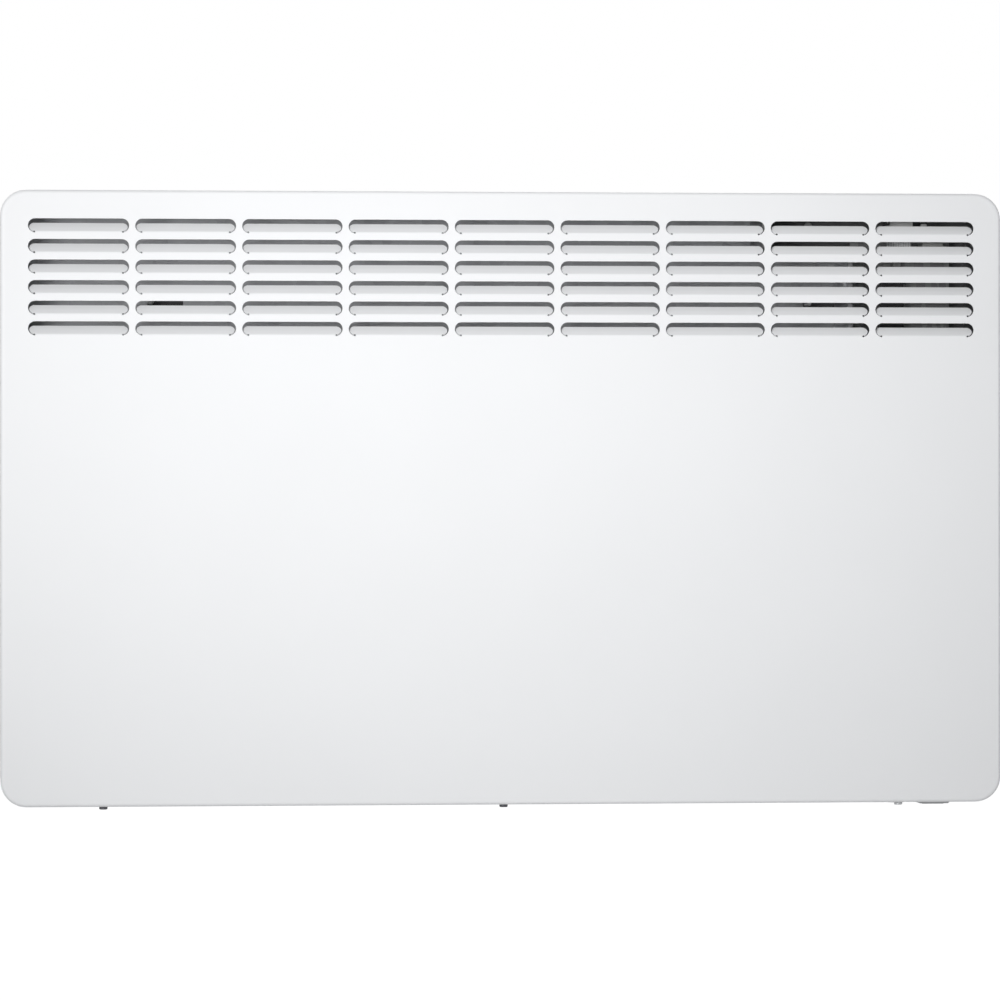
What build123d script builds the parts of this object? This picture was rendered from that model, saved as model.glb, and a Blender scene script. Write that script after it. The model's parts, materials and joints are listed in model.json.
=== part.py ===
"""Wall panel convector heater on its wall bracket.

X runs left to right as seen from the room, Y runs from the room into the wall and Z runs up.
The wall is the plane y = 0. The origin is the centre of the four wall-screw holes on that plane.
All sizes are millimetres and degrees.
"""

from build123d import *
from math import cos, radians, sin, sqrt
import os

os.makedirs("parts", exist_ok=True)

# ---------------------------------------------------------------- casing
casing_width = 738.0
casing_height = 450.0
casing_depth = 78.0
wall_gap = 22.0
corner_radius = 19.0
front_edge_radius = 2.5
casing_sheet = 1.0

half_width = casing_width / 2
top_z = casing_height / 2
bottom_z = -top_z
back_y = -wall_gap
front_y = back_y - casing_depth
inner_side_x = half_width - casing_sheet

# ---------------------------------------------------------------- louvres
louvre_pitch_x = 78.0
louvre_pitch_z = 15.0
louvre_width = 73.5
louvre_height = 10.2
louvre_rows = 6
louvre_top_margin = 20.8
louvre_side_margin = 20.0
louvre_kerf = 0.9
louvre_root_inset = 5.2
louvre_relief_radius = 0.7
tongue_angle = 43.0
tongue_bend_radius = 2.0
tongue_root = 0.4

louvre_columns = int((casing_width - 2 * louvre_side_margin) // louvre_pitch_x) + 1
if (louvre_columns - 1) * louvre_pitch_x + louvre_width > casing_width - 2 * louvre_side_margin:
    louvre_columns -= 1
louvre_top_row_z = top_z - louvre_top_margin - louvre_height / 2
louvre_xs = [(column - (louvre_columns - 1) / 2) * louvre_pitch_x for column in range(louvre_columns)]
louvre_zs = [louvre_top_row_z - row * louvre_pitch_z for row in range(louvre_rows)]

# ---------------------------------------------------------------- rear panel
panel_sheet = 1.0
panel_clearance = 0.3
panel_flange = 12.0
panel_floor_front_gap = 5.0
panel_floor_rise = 20.0
panel_rib_length = 190.0
panel_rib_width = 12.0
panel_rib_depth = 0.8
panel_rib_pitch = 110.0
panel_rib_count = 3

panel_half_width = inner_side_x - panel_clearance
panel_half_height = top_z - casing_sheet - panel_clearance
panel_inner_y = back_y - panel_sheet
panel_floor_z = -panel_half_height + panel_sheet
panel_floor_front_y = front_y + panel_floor_front_gap
panel_floor_depth = back_y - panel_floor_front_y

# ---------------------------------------------------------------- air inlet in the floor
floor_notch_left_inset = 24.0
floor_return = 34.0
inlet_pitch_x = 50.0
inlet_pitch_y = 11.0
inlet_length = 42.0
inlet_width = 5.0
inlet_rows = 3
inlet_back_inset = 10.0

# ---------------------------------------------------------------- electronics side, measured from the right
compartment_width = 111.0
notch_compartment_gap = 8.0
compartment_wall_x = half_width - compartment_width
notch_left_x = -half_width + floor_notch_left_inset
notch_right_x = compartment_wall_x - notch_compartment_gap
notch_front_y = front_y + floor_return
inlet_middle_x = (notch_left_x + notch_right_x) / 2
inlet_count = int((notch_right_x - notch_left_x) // inlet_pitch_x)

# ---------------------------------------------------------------- wall bracket
bracket_sheet = 2.5
bracket_side_inset = 107.0
bracket_top_inset = 65.0
bracket_bottom_inset = 35.0
bracket_rail = 40.0
bracket_corner = 6.0
wall_hole_radius = 3.5
wall_hole_inset = 20.0
wall_hole_half_z = 100.0
bracket_lip = 6.0
bracket_lip_end_gap = 12.0
bracket_half_width = half_width - bracket_side_inset
bracket_top_z = top_z - bracket_top_inset
bracket_bottom_z = bottom_z + bracket_bottom_inset
wall_hole_half_x = bracket_half_width - wall_hole_inset
bracket_front_y = -bracket_sheet

hook_width = 26.6
hook_opening_side_inset = 2.5
hook_opening_height = 14.0
hook_seat_drop = 7.0
hook_arm_height = 8.0
hook_upstand = 4.0
hook_lip = 5.0
hook_side_clearance = 0.4
hook_play = 0.6
hook_opening_outer_x = bracket_half_width - hook_opening_side_inset
hook_seat_z = bracket_top_z - hook_seat_drop
hook_opening_lefts = (-hook_opening_outer_x, hook_opening_outer_x - hook_width)

# ---------------------------------------------------------------- latches
latch_from_hook = 79.5
latch_pivot_y = -12.0
latch_pivot_rise = 34.0
latch_width = 18.0
latch_hub_radius = 4.0
latch_pin_radius = 1.5
pivot_clearance = 0.05
latch_side_play = 0.4
latch_arm_half = 2.0
latch_barb_height = 3.8
latch_barb_depth = 5.0
latch_barb_gap = 0.6
latch_tab_length = 32.0
latch_tab_sheet = 2.0
latch_tab_offset = 4.0
latch_opening_width = 22.0
latch_opening_top_gap = 1.5
latch_opening_height = 20.0
latch_ear_height = 18.0
latch_ear_front = 5.5
latch_rivet_head = 1.0

latch_half_x = hook_opening_outer_x - latch_from_hook
latch_pivot_z = bracket_bottom_z + latch_pivot_rise
latch_xs = (-latch_half_x, latch_half_x)
latch_opening_top_z = latch_pivot_z + latch_arm_half + latch_opening_top_gap
latch_ear_x = latch_width / 2 + latch_side_play

# ---------------------------------------------------------------- case screws in the floor
case_screw_side_inset = 75.0
case_screw_front_inset = 12.0
case_screw_shank_radius = 1.9
case_screw_head_radius = 3.1
case_screw_head_height = 2.4
case_screw_length = 8.0
screw_clearance = 0.1
case_screw_half_x = half_width - case_screw_side_inset
case_screw_y = front_y + case_screw_front_inset

# ---------------------------------------------------------------- mains switch in the floor
switch_bezel_x = 22.8
switch_bezel_y = 30.0
switch_bezel_height = 1.9
switch_bezel_bevel = 0.9
switch_right_inset = 47.2
switch_front_inset = 16.0
switch_body_x = 20.8
switch_body_y = 28.0
switch_body_height = 19.0
switch_fit = 0.2
switch_well_x = 16.8
switch_well_half_y = 11.5
switch_well_height = 14.0
rocker_half_width = 8.1
rocker_end_radius = 11.2
rocker_face_drop = 5.6
rocker_back_rise = 3.0
rocker_pivot_rise = 4.6
rocker_tilt = 9.0
trunnion_radius = 1.25
trunnion_reach = 1.4
blade_width = 6.3
blade_thick = 0.8
blade_length = 8.0
blade_offset_x = 5.5
blade_offset_y = 7.0

switch_x = half_width - switch_right_inset
switch_y = front_y + switch_front_inset + switch_bezel_y / 2
switch_top_z = bottom_z + switch_body_height
rocker_pivot_z = bottom_z + rocker_pivot_rise
blade_top_z = switch_top_z + blade_length

# ---------------------------------------------------------------- cable gland in the floor
gland_right_inset = 69.0
gland_back_inset = 16.0
gland_bore_radius = 4.0
gland_body_radius = 6.5
gland_flange_radius = 8.5
gland_flange_height = 3.2
gland_body_height = 16.0
gland_fit = 0.2
gland_x = half_width - gland_right_inset
gland_y = back_y - gland_back_inset

# ---------------------------------------------------------------- control housing, under the whole fascia
fascia_length = 150.0
fascia_right_inset = 19.0
fascia_right_x = half_width - fascia_right_inset
fascia_left_x = fascia_right_x - fascia_length
housing_wall = 2.0
housing_front_inset = 12.0
housing_right_gap = 10.7
housing_floor_rise = 35.0
housing_step_top_drop = 42.0
housing_arm_margin = 7.0
housing_top_drop = 2.6
housing_boss_radius = 3.5
housing_lip = 1.5
housing_front_y = front_y + housing_front_inset
housing_right_x = half_width - housing_right_gap
housing_left_x = compartment_wall_x
housing_arm_left_x = fascia_left_x - housing_arm_margin
housing_floor_z = bottom_z + housing_floor_rise
housing_step_z = top_z - housing_step_top_drop
housing_top_z = top_z - housing_top_drop
housing_back_y = panel_inner_y - housing_wall
housing_screw_side_inset = 11.0
housing_screw_bottom_rise = 12.0
housing_screw_top_drop = 24.4
housing_screw_arm_inset = 43.4
housing_screw_arm_drop = 17.8
housing_screw_length = 5.0
housing_screw_left_x = housing_left_x + housing_screw_side_inset
housing_screw_right_x = housing_right_x - housing_screw_side_inset
housing_screw_bottom_z = housing_floor_z + housing_screw_bottom_rise
housing_screw_places = [
    (housing_screw_left_x, housing_screw_bottom_z),
    (housing_screw_right_x, housing_screw_bottom_z),
    (housing_screw_right_x, housing_top_z - housing_screw_top_drop),
    (housing_arm_left_x + housing_screw_arm_inset, housing_top_z - housing_screw_arm_drop),
]

# ---------------------------------------------------------------- power board
board_thick = 1.6
board_standoff = 13.4
board_left_gap = 6.0
board_right_gap = 15.3
board_top_drop = 33.0
board_height = 172.0
board_hole_side_inset = 5.0
board_hole_bottom_inset = 6.0
board_hole_top_inset = 25.0
board_back_y = housing_back_y - board_standoff
board_front_y = board_back_y - board_thick
board_left_x = housing_left_x + housing_wall + board_left_gap
board_right_x = housing_right_x - housing_wall - board_right_gap
board_top_z = top_z - board_top_drop
board_bottom_z = board_top_z - board_height
pan_head = 2.0
pan_head_radius = 2.8
pan_shank_radius = 1.4
board_screw_length = 9.0

way_pitch = 12.0
way_count = 5
way_height = 12.0
way_depth = 12.0
way_base_rise = 12.0
way_left_inset = 14.0
way_groove = 1.0
way_base_z = board_bottom_z + way_base_rise
way_xs = [board_left_x + way_left_inset + way * way_pitch for way in range(way_count)]
way_y = board_front_y - way_depth / 2

component_edge = 0.8
relay_x_size = 18.0
relay_z_size = 20.0
relay_depth = 16.0
relay_right_inset = 46.0
relay_rise = 118.0
relay_pitch = 25.0
relay_x = board_right_x - relay_right_inset
relay_places = [(relay_x, board_bottom_z + relay_rise + relay * relay_pitch) for relay in range(2)]
transformer_x_size = 36.0
transformer_z_size = 32.0
transformer_depth = 24.0
winding_x_size = 22.0
winding_z_size = 22.0
winding_depth = 6.0
transformer_left_inset = 24.0
transformer_rise = 60.0
transformer_place = (board_left_x + transformer_left_inset, board_bottom_z + transformer_rise)
capacitor_radius = 6.0
capacitor_length = 20.0
capacitor_pitch = 15.0
capacitor_left_inset = 12.0
capacitor_rise = 98.0
capacitor_x = board_left_x + capacitor_left_inset
capacitor_z = board_bottom_z + capacitor_rise
capacitor_places = [(capacitor_x + place * capacitor_pitch, capacitor_z) for place in range(3)]
filter_x_size = 16.0
filter_z_size = 11.0
filter_depth = 16.0
filter_left_inset = 60.0
filter_top_inset = 6.5
filter_place = (board_left_x + filter_left_inset, board_top_z - filter_top_inset)

# ---------------------------------------------------------------- top fascia, display and buttons
fascia_depth = 44.0
fascia_fit = 0.3
fascia_lap = 2.0
fascia_proud = 0.8
fascia_plate = 2.4
fascia_back_inset = 18.0
fascia_x = fascia_right_x - fascia_length / 2
fascia_y = back_y - fascia_back_inset - fascia_depth / 2
fascia_top_z = top_z + fascia_proud
fascia_under_z = fascia_top_z - fascia_plate

window_button_gap = 14.0
window_depth = 24.0
window_thick = 1.5
window_recess = 0.2
window_fit = 0.2
window_ledge = 1.5
window_left_inset = 18.0

display_board_drop = 15.0
display_board_margin = 4.0
display_board_top_z = top_z - display_board_drop
display_board_x = fascia_x
display_board_x_size = fascia_length - 2 * display_board_margin
display_board_y_size = fascia_depth - 2 * display_board_margin
display_module_margin = 3.0
display_module_gap = 0.4
display_boss_radius = 3.0
display_hole_inset = 6.0

button_radius = 4.4
button_gap = 0.3
button_flange = 1.0
button_flange_height = 1.8
button_proud = 0.8
button_travel = 0.6
button_pitch = 16.0
button_right_inset = 20.0
button_play = 0.2
button_stem_radius = 1.4
tact_side = 6.0
tact_height = 4.6
tact_plunger_radius = 1.75
tact_plunger_height = 1.4
tact_gap = 0.1
mark_length = 4.0
mark_line = 0.7
mark_pitch = 2.1
mark_depth = 0.2
button_names = ("button_menu", "button_minus", "button_plus", "button_ok")
button_last_x = fascia_right_x - button_right_inset
button_count = len(button_names)
button_xs = [button_last_x - (button_count - 1 - place) * button_pitch for place in range(button_count)]
button_top_z = fascia_top_z + button_proud
window_left_x = fascia_left_x + window_left_inset
window_right_x = button_xs[0] - window_button_gap
window_length = window_right_x - window_left_x
window_x = (window_left_x + window_right_x) / 2
tact_top_z = display_board_top_z + tact_height + tact_plunger_height

connector_length = 20.0
connector_width = 8.0
connector_height = 12.0
connector_header = 9.6
ribbon_right_inset = 70.0
ribbon_header_drop = 9.3
ribbon_margin = 0.8
ribbon_thick = 1.0
ribbon_bend = 5.0
ribbon_x = half_width - ribbon_right_inset
ribbon_y = fascia_y
ribbon_header_z = board_top_z - ribbon_header_drop

# ---------------------------------------------------------------- heating element
element_left_inset = 36.8
element_right_gap = 20.0
element_end_gap = 14.0
element_depth_from_back = 34.0
element_height_above_floor = 95.0
sheath_radius = 4.0
sheath_end_reach = 17.0
core_radius = 7.0
fin_arm_length = 36.0
fin_arm_thick = 1.8
fin_arm_angle = 32.0
fin_rib_length = 15.0
fin_rib_thick = 1.2
fin_rib_first = 14.0
fin_rib_pitch = 7.0
fin_rib_count = 4
bushing_radius = 7.5
bushing_flange_radius = 10.0
bushing_flange = 3.0
bushing_length = 12.0
bushing_flange_end_gap = 6.0
running_gap = 0.05
terminal_radius = 1.5
terminal_reach = 9.0

element_y = back_y - element_depth_from_back
element_z = bottom_z + element_height_above_floor
end_plate_thick = 1.2
end_plate_floor_gap = 35.0
end_plate_rise = 70.0
end_flange = 12.0
end_plate_left_x = -half_width + element_left_inset
end_plate_right_x = compartment_wall_x - element_right_gap
end_plate_bottom_z = bottom_z + end_plate_floor_gap
end_plate_top_z = element_z + end_plate_rise
fins_left_x = end_plate_left_x + end_plate_thick + element_end_gap
fins_right_x = end_plate_right_x - bushing_flange_end_gap

# ---------------------------------------------------------------- heat shield
shield_sheet = 0.8
shield_front_inset = 10.0
shield_overhang = 4.0
shield_floor_gap = 30.0
shield_top_gap = 22.0
shield_fold = 7.0
shield_front_y = front_y + shield_front_inset
shield_back_y = shield_front_y + shield_sheet
shield_bottom_z = bottom_z + shield_floor_gap
shield_top_z = louvre_zs[-1] - louvre_height / 2 - shield_top_gap

rivet_radius = 1.6
rivet_head_radius = 3.0
rivet_head = 1.0

rivet_clearance = 0.1
rivet_inset = 22.0
rivet_xs = (end_plate_left_x - end_flange / 2, end_plate_right_x + end_plate_thick + end_flange / 2)
rivet_zs = (end_plate_bottom_z + rivet_inset, end_plate_top_z - rivet_inset)
rivet_places = [(rivet_x, rivet_z) for rivet_x in rivet_xs for rivet_z in rivet_zs]

# ---------------------------------------------------------------- partition, of the end plates' sheet
partition_flange_gap = 20.0
partition_flange_below_hooks = 19.0
partition_rivet_inset = 30.0
partition_side_rivet_y_inset = 16.0
partition_side_rivet_drop = 24.0
partition_side_rivet_pitch = 150.0
partition_flange_x = compartment_wall_x - end_plate_thick - end_flange / 2
partition_flange_bottom_z = end_plate_top_z + partition_flange_gap
partition_flange_top_z = hook_seat_z - hook_opening_height - partition_flange_below_hooks
partition_rivet_places = [
    (partition_flange_x, partition_flange_bottom_z + partition_rivet_inset),
    (partition_flange_x, partition_flange_top_z - partition_rivet_inset),
]
partition_side_rivet_y = housing_front_y + partition_side_rivet_y_inset
partition_side_rivet_z = housing_step_z - partition_side_rivet_drop
partition_side_rivets = [
    (partition_side_rivet_y, partition_side_rivet_z),
    (partition_side_rivet_y, partition_side_rivet_z - partition_side_rivet_pitch),
]

# ---------------------------------------------------------------- earthed screen in the housing
screen_sheet = 0.8
screen_front_gap = 2.0
screen_bottom_rise = 20.0
screen_top_drop = 20.0
screen_corner = 4.0
screen_rivet_inset = 12.0
screen_bottom_z = housing_floor_z + screen_bottom_rise
screen_top_z = housing_top_z - screen_top_drop
screen_rivet_y = (housing_front_y + housing_back_y) / 2
screen_rivets = [
    (screen_rivet_y, screen_bottom_z + screen_rivet_inset),
    (screen_rivet_y, screen_top_z - screen_rivet_inset),
]

# ---------------------------------------------------------------- safety cut-out on the right end plate
cutout_radius = 8.0
cutout_length = 9.0
cutout_rise = 45.0
cutout_blade_spread = 10.0
cutout_blade_reach = 7.0
cutout_z = element_z + cutout_rise
cutout_x = end_plate_right_x + end_plate_thick
cutout_blade_x = cutout_x + cutout_length + cutout_blade_reach

# ---------------------------------------------------------------- room sensor and earth tag on the floor
sensor_radius = 2.2
sensor_length = 10.0
sensor_clip_side = 9.0
sensor_clip_height = 7.0
sensor_from_wall = 22.0
sensor_x = compartment_wall_x + sensor_from_wall
sensor_y = switch_y + blade_offset_y
earth_right_inset = 28.0
earth_from_switch = 19.0
earth_hole_to_barrel = 9.0
earth_tag_x_size = 10.0
earth_tag_y_size = 18.0
earth_tag_sheet = 0.8
earth_barrel_radius = 2.2
earth_barrel_height = 9.0
earth_screw_radius = 2.0
earth_screw_head_radius = 3.6
earth_screw_head = 2.6
earth_x = half_width - earth_right_inset
earth_barrel_y = switch_y + earth_from_switch
earth_screw_y = earth_barrel_y - earth_hole_to_barrel

# ---------------------------------------------------------------- mains terminal block
block_x_size = 32.0
block_y_size = 18.0
block_z_size = 18.0
block_pitch = 10.0
block_ways = 3
block_floor_gap = 8.0
block_x = gland_x
block_base_z = housing_floor_z + housing_wall + block_floor_gap
block_front_y = housing_back_y - block_y_size
block_way_xs = [block_x + (way - (block_ways - 1) / 2) * block_pitch for way in range(block_ways)]
block_way_z = block_base_z + block_z_size / 2

# ---------------------------------------------------------------- leads
lead_radius = 1.4
sensor_lead_radius = 0.9
lead_hole_radius = 3.6
long_lead_floor_gap = 12.7
long_lead_from_wall = 16.0
long_lead_back_gap = 14.0
long_lead_x = compartment_wall_x + long_lead_from_wall
long_lead_y = back_y - long_lead_back_gap
long_lead_z = panel_floor_z + long_lead_floor_gap
clip_inlet_gaps = (-3.5, 0.5, 3.5)
block_lead_bend = 6.0
tight_bend = 3.5
cutout_bend = 5.0
long_bend = 8.0
block_lead_out = 9.0
block_lead_drop = 9.0
riser_rise = 26.0
riser_half = 15.0
riser_start_drop = 5.0
riser_end_rise = 20.0
pin_loop = 12.0
cutout_lead_rise = 16.0
cutout_lead_side = 10.0
left_lead_drop = 40.0
clip_length = 6.0
clip_wall = 2.0


# ================================================================ front casing and its louvres
with BuildPart() as tongue:
    flat_length = louvre_height - louvre_kerf - tongue_bend_radius * radians(tongue_angle)
    bend_sin = sin(radians(tongue_angle))
    bend_cos = cos(radians(tongue_angle))
    bend_y = front_y + tongue_bend_radius
    back_radius = tongue_bend_radius - casing_sheet
    root_z = -louvre_height / 2
    flat_start = Vector(0, bend_y - tongue_bend_radius * bend_cos, root_z + tongue_bend_radius * bend_sin)
    with BuildSketch(Plane.YZ):
        with BuildLine():
            outer = [(front_y, root_z), (flat_start.Y, flat_start.Z)]
            tip = (flat_start.Y + flat_length * bend_sin, flat_start.Z + flat_length * bend_cos)
            inner_tip = (tip[0] + casing_sheet * bend_cos, tip[1] - casing_sheet * bend_sin)
            inner_start = (bend_y - back_radius * bend_cos, root_z + back_radius * bend_sin)
            Line((front_y, root_z - tongue_root), outer[0])
            RadiusArc(outer[0], outer[1], tongue_bend_radius)
            Line(outer[1], tip)
            Line(tip, inner_tip)
            Line(inner_tip, inner_start)
            RadiusArc(inner_start, (front_y + casing_sheet, root_z), -back_radius)
            Line((front_y + casing_sheet, root_z), (front_y + casing_sheet, root_z - tongue_root))
            Line((front_y + casing_sheet, root_z - tongue_root), (front_y, root_z - tongue_root))
        make_face()
    extrude(amount=louvre_width / 2, both=True)
    tongue_normal = Vector(0, -bend_cos, bend_sin)
    with BuildSketch(Plane(origin=flat_start, x_dir=(1, 0, 0), z_dir=tongue_normal)):
        outline_centre = louvre_height / 2 - tongue_bend_radius * bend_sin
        with Locations((0, outline_centre)):
            SlotOverall(louvre_width - 2 * louvre_kerf, louvre_height - 2 * louvre_kerf)
        with Locations((0, -tongue_bend_radius * bend_sin)):
            Rectangle(louvre_width - 2 * louvre_root_inset, 4 * louvre_kerf)
    extrude(amount=2 * louvre_height, both=True, mode=Mode.INTERSECT)

with BuildPart() as front_casing:
    with BuildSketch(Plane.XZ.offset(wall_gap)):
        RectangleRounded(casing_width, casing_height, corner_radius)
    extrude(amount=casing_depth)
    fillet(faces().sort_by(Axis.Y)[0].edges(), front_edge_radius)
    offset(amount=-casing_sheet, openings=faces().sort_by(Axis.Y)[-1])
    with BuildSketch(Plane.XZ.offset(-front_y)):
        for louvre_x in louvre_xs:
            with Locations(*[(louvre_x, louvre_z) for louvre_z in louvre_zs]):
                SlotOverall(louvre_width, louvre_height)
    extrude(amount=-2 * casing_sheet, mode=Mode.SUBTRACT)
    with Locations(*[(louvre_x, 0, louvre_z) for louvre_x in louvre_xs for louvre_z in louvre_zs]):
        add(tongue.part)
    # a relief hole at each end of the lanced cut
    relief_arc = (louvre_height - louvre_kerf) / 2
    relief_x = louvre_width / 2 - louvre_root_inset + louvre_relief_radius
    relief_from_arc_centre = relief_x - (louvre_width - louvre_height) / 2
    relief_drop = sqrt(relief_arc**2 - relief_from_arc_centre**2)
    with BuildSketch(Plane.XZ.offset(-front_y)):
        for louvre_x in louvre_xs:
            for relief_side in (-relief_x, relief_x):
                with Locations(*[(louvre_x + relief_side, louvre_z - relief_drop) for louvre_z in louvre_zs]):
                    Circle(louvre_relief_radius)
    extrude(amount=-2 * casing_sheet, mode=Mode.SUBTRACT)
    # the floor is cut back over the air inlet, so the rear panel's slotted floor shows there
    with BuildSketch(Plane.XY.offset(bottom_z)):
        with Locations(((notch_left_x + notch_right_x) / 2, (notch_front_y + back_y) / 2)):
            Rectangle(notch_right_x - notch_left_x, back_y - notch_front_y)
        with Locations((switch_x, switch_y)):
            Rectangle(switch_body_x + 2 * switch_fit, switch_body_y + 2 * switch_fit)
        with Locations((gland_x, gland_y)):
            Circle(gland_body_radius + gland_fit)
        with Locations(*[(side * case_screw_half_x, case_screw_y) for side in (-1, 0, 1)]):
            Circle(case_screw_shank_radius + screw_clearance)
    extrude(amount=casing_sheet, mode=Mode.SUBTRACT)
    with BuildSketch(Plane.XY.offset(top_z)):
        with Locations((fascia_x, fascia_y)):
            Rectangle(fascia_length, fascia_depth)
    extrude(amount=-casing_sheet, mode=Mode.SUBTRACT)

# ================================================================ rear panel
with BuildPart() as rear_panel:
    with BuildSketch(Plane.XZ.offset(wall_gap)):
        panel_corner = corner_radius - casing_sheet - panel_clearance
        RectangleRounded(2 * panel_half_width, 2 * panel_half_height, panel_corner)
    extrude(amount=panel_floor_depth)
    offset(amount=-panel_sheet, openings=faces().sort_by(Axis.Y)[0])
    # only the floor keeps its full depth, the other three sides are short flanges
    with BuildSketch(Plane.XZ.offset(wall_gap + panel_flange)):
        with Locations((0, panel_floor_rise / 2)):
            Rectangle(casing_width, casing_height - panel_floor_rise)
    extrude(amount=casing_depth, mode=Mode.SUBTRACT)
    with BuildSketch(Plane.XZ.offset(wall_gap)):
        for opening_left in hook_opening_lefts:
            with Locations((opening_left + hook_width / 2, hook_seat_z - hook_opening_height / 2)):
                Rectangle(hook_width, hook_opening_height)
        for latch_x in latch_xs:
            with Locations((latch_x, latch_opening_top_z - latch_opening_height / 2)):
                Rectangle(latch_opening_width, latch_opening_height)
        with Locations(*rivet_places, *partition_rivet_places):
            Circle(rivet_radius + rivet_clearance)
        with Locations(*housing_screw_places):
            Circle(pan_shank_radius + screw_clearance)
    extrude(amount=panel_sheet, mode=Mode.SUBTRACT)
    # upright ribs, pressed inwards from the back
    with BuildSketch(Plane.XZ.offset(-panel_inner_y)):
        with GridLocations(panel_rib_pitch, panel_rib_length, panel_rib_count, 1):
            SlotOverall(panel_rib_length, panel_rib_width, rotation=90)
    extrude(amount=panel_rib_depth)
    with BuildSketch(Plane.XZ.offset(wall_gap)):
        with GridLocations(panel_rib_pitch, panel_rib_length, panel_rib_count, 1):
            SlotOverall(panel_rib_length - 2 * panel_sheet, panel_rib_width - 2 * panel_sheet, rotation=90)
    extrude(amount=panel_rib_depth, mode=Mode.SUBTRACT)
    with BuildSketch(Plane.XY.offset(-panel_half_height)):
        inlet_middle_y = back_y - inlet_back_inset - inlet_pitch_y * (inlet_rows - 1) / 2
        with Locations((inlet_middle_x, inlet_middle_y)):
            with GridLocations(inlet_pitch_x, inlet_pitch_y, inlet_count, inlet_rows):
                SlotOverall(inlet_length, inlet_width)
        with Locations((switch_x, switch_y)):
            Rectangle(switch_body_x + 2 * switch_fit, switch_body_y + 2 * switch_fit)
        with Locations((gland_x, gland_y)):
            Circle(gland_body_radius + gland_fit)
        with Locations((earth_x, earth_screw_y)):
            Circle(earth_screw_radius + screw_clearance)
        with Locations(*[(side * case_screw_half_x, case_screw_y) for side in (-1, 0, 1)]):
            Circle(case_screw_shank_radius + screw_clearance)
    extrude(amount=panel_sheet, mode=Mode.SUBTRACT)

# ================================================================ case screws, heads below the floor
with BuildPart() as case_screw:
    with BuildSketch(Plane.XY.offset(bottom_z)):
        Circle(case_screw_head_radius)
    extrude(amount=-case_screw_head_height)
    fillet(faces().sort_by(Axis.Z)[0].edges(), case_screw_head_height / 3)
    with BuildSketch(Plane.XY.offset(bottom_z)):
        Circle(case_screw_shank_radius)
    extrude(amount=case_screw_length)
    chamfer(faces().sort_by(Axis.Z)[-1].edges(), case_screw_shank_radius / 3)
    with BuildSketch(Plane.XY.offset(bottom_z - case_screw_head_height)):
        Rectangle(case_screw_head_radius, case_screw_head_radius / 5)
        Rectangle(case_screw_head_radius / 5, case_screw_head_radius)
    extrude(amount=case_screw_head_height / 2, mode=Mode.SUBTRACT)

with BuildPart() as case_screws:
    with Locations(*[(side * case_screw_half_x, case_screw_y, 0) for side in (-1, 0)]):
        add(case_screw.part)

with BuildPart() as case_screw_right:
    with Locations((case_screw_half_x, case_screw_y, 0)):
        add(case_screw.part)

# ================================================================ wall bracket
with BuildPart() as wall_bracket:
    with BuildSketch(Plane.XZ):
        bracket_height = bracket_top_z - bracket_bottom_z
        bracket_middle_z = (bracket_top_z + bracket_bottom_z) / 2
        with Locations((0, bracket_middle_z)):
            RectangleRounded(2 * bracket_half_width, bracket_height, bracket_corner)
            window_x_size = 2 * (bracket_half_width - bracket_rail)
            window_z_size = bracket_height - 2 * bracket_rail
            RectangleRounded(window_x_size, window_z_size, bracket_corner, mode=Mode.SUBTRACT)
        with GridLocations(2 * wall_hole_half_x, 2 * wall_hole_half_z, 2, 2):
            Circle(wall_hole_radius, mode=Mode.SUBTRACT)
    extrude(amount=bracket_sheet)
    # lips folded forward along the sides and the top of the window
    with BuildSketch(Plane.XZ.offset(bracket_sheet)):
        with Locations((0, bracket_middle_z)):
            with GridLocations(window_x_size + bracket_sheet, 1, 2, 1):
                Rectangle(bracket_sheet, window_z_size - 2 * bracket_lip_end_gap)
        with Locations((0, bracket_top_z - bracket_rail + bracket_sheet / 2)):
            Rectangle(window_x_size - 2 * bracket_lip_end_gap, bracket_sheet)
    extrude(amount=bracket_lip)
    # hook ears, each folded forward at the left end of its opening in the rear panel
    hook_base_z = hook_seat_z - hook_arm_height
    hook_notch_back_y = back_y + hook_play
    hook_notch_front_y = panel_inner_y - hook_play
    hook_tip_y = hook_notch_front_y - hook_lip
    for opening_left in hook_opening_lefts:
        with BuildSketch(Plane.YZ.offset(opening_left + hook_side_clearance)):
            with BuildLine():
                Polyline(
                    (bracket_front_y + bracket_sheet / 2, hook_base_z),
                    (hook_tip_y, hook_base_z),
                    (hook_tip_y, hook_seat_z + hook_upstand - hook_lip / 4),
                    (hook_tip_y + hook_lip / 4, hook_seat_z + hook_upstand),
                    (hook_notch_front_y - hook_lip / 4, hook_seat_z + hook_upstand),
                    (hook_notch_front_y, hook_seat_z + hook_upstand - hook_lip / 4),
                    (hook_notch_front_y, hook_seat_z),
                    (hook_notch_back_y, hook_seat_z),
                    (hook_notch_back_y + hook_lip, hook_seat_z + hook_upstand),
                    (bracket_front_y + bracket_sheet / 2, hook_seat_z + hook_upstand),
                    close=True,
                )
            make_face()
        extrude(amount=bracket_sheet)
    # a pair of small ears carries each latch pin
    for latch_x in latch_xs:
        for ear_x in (latch_x - latch_ear_x - bracket_sheet, latch_x + latch_ear_x):
            with BuildSketch(Plane.YZ.offset(ear_x)):
                ear_depth = -latch_pivot_y + latch_ear_front - bracket_sheet / 2
                with Locations((latch_pivot_y - latch_ear_front + ear_depth / 2, latch_pivot_z)):
                    Rectangle(ear_depth, latch_ear_height)
                with Locations((latch_pivot_y, latch_pivot_z)):
                    Circle(latch_pin_radius + pivot_clearance, mode=Mode.SUBTRACT)
            extrude(amount=bracket_sheet)

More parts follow.
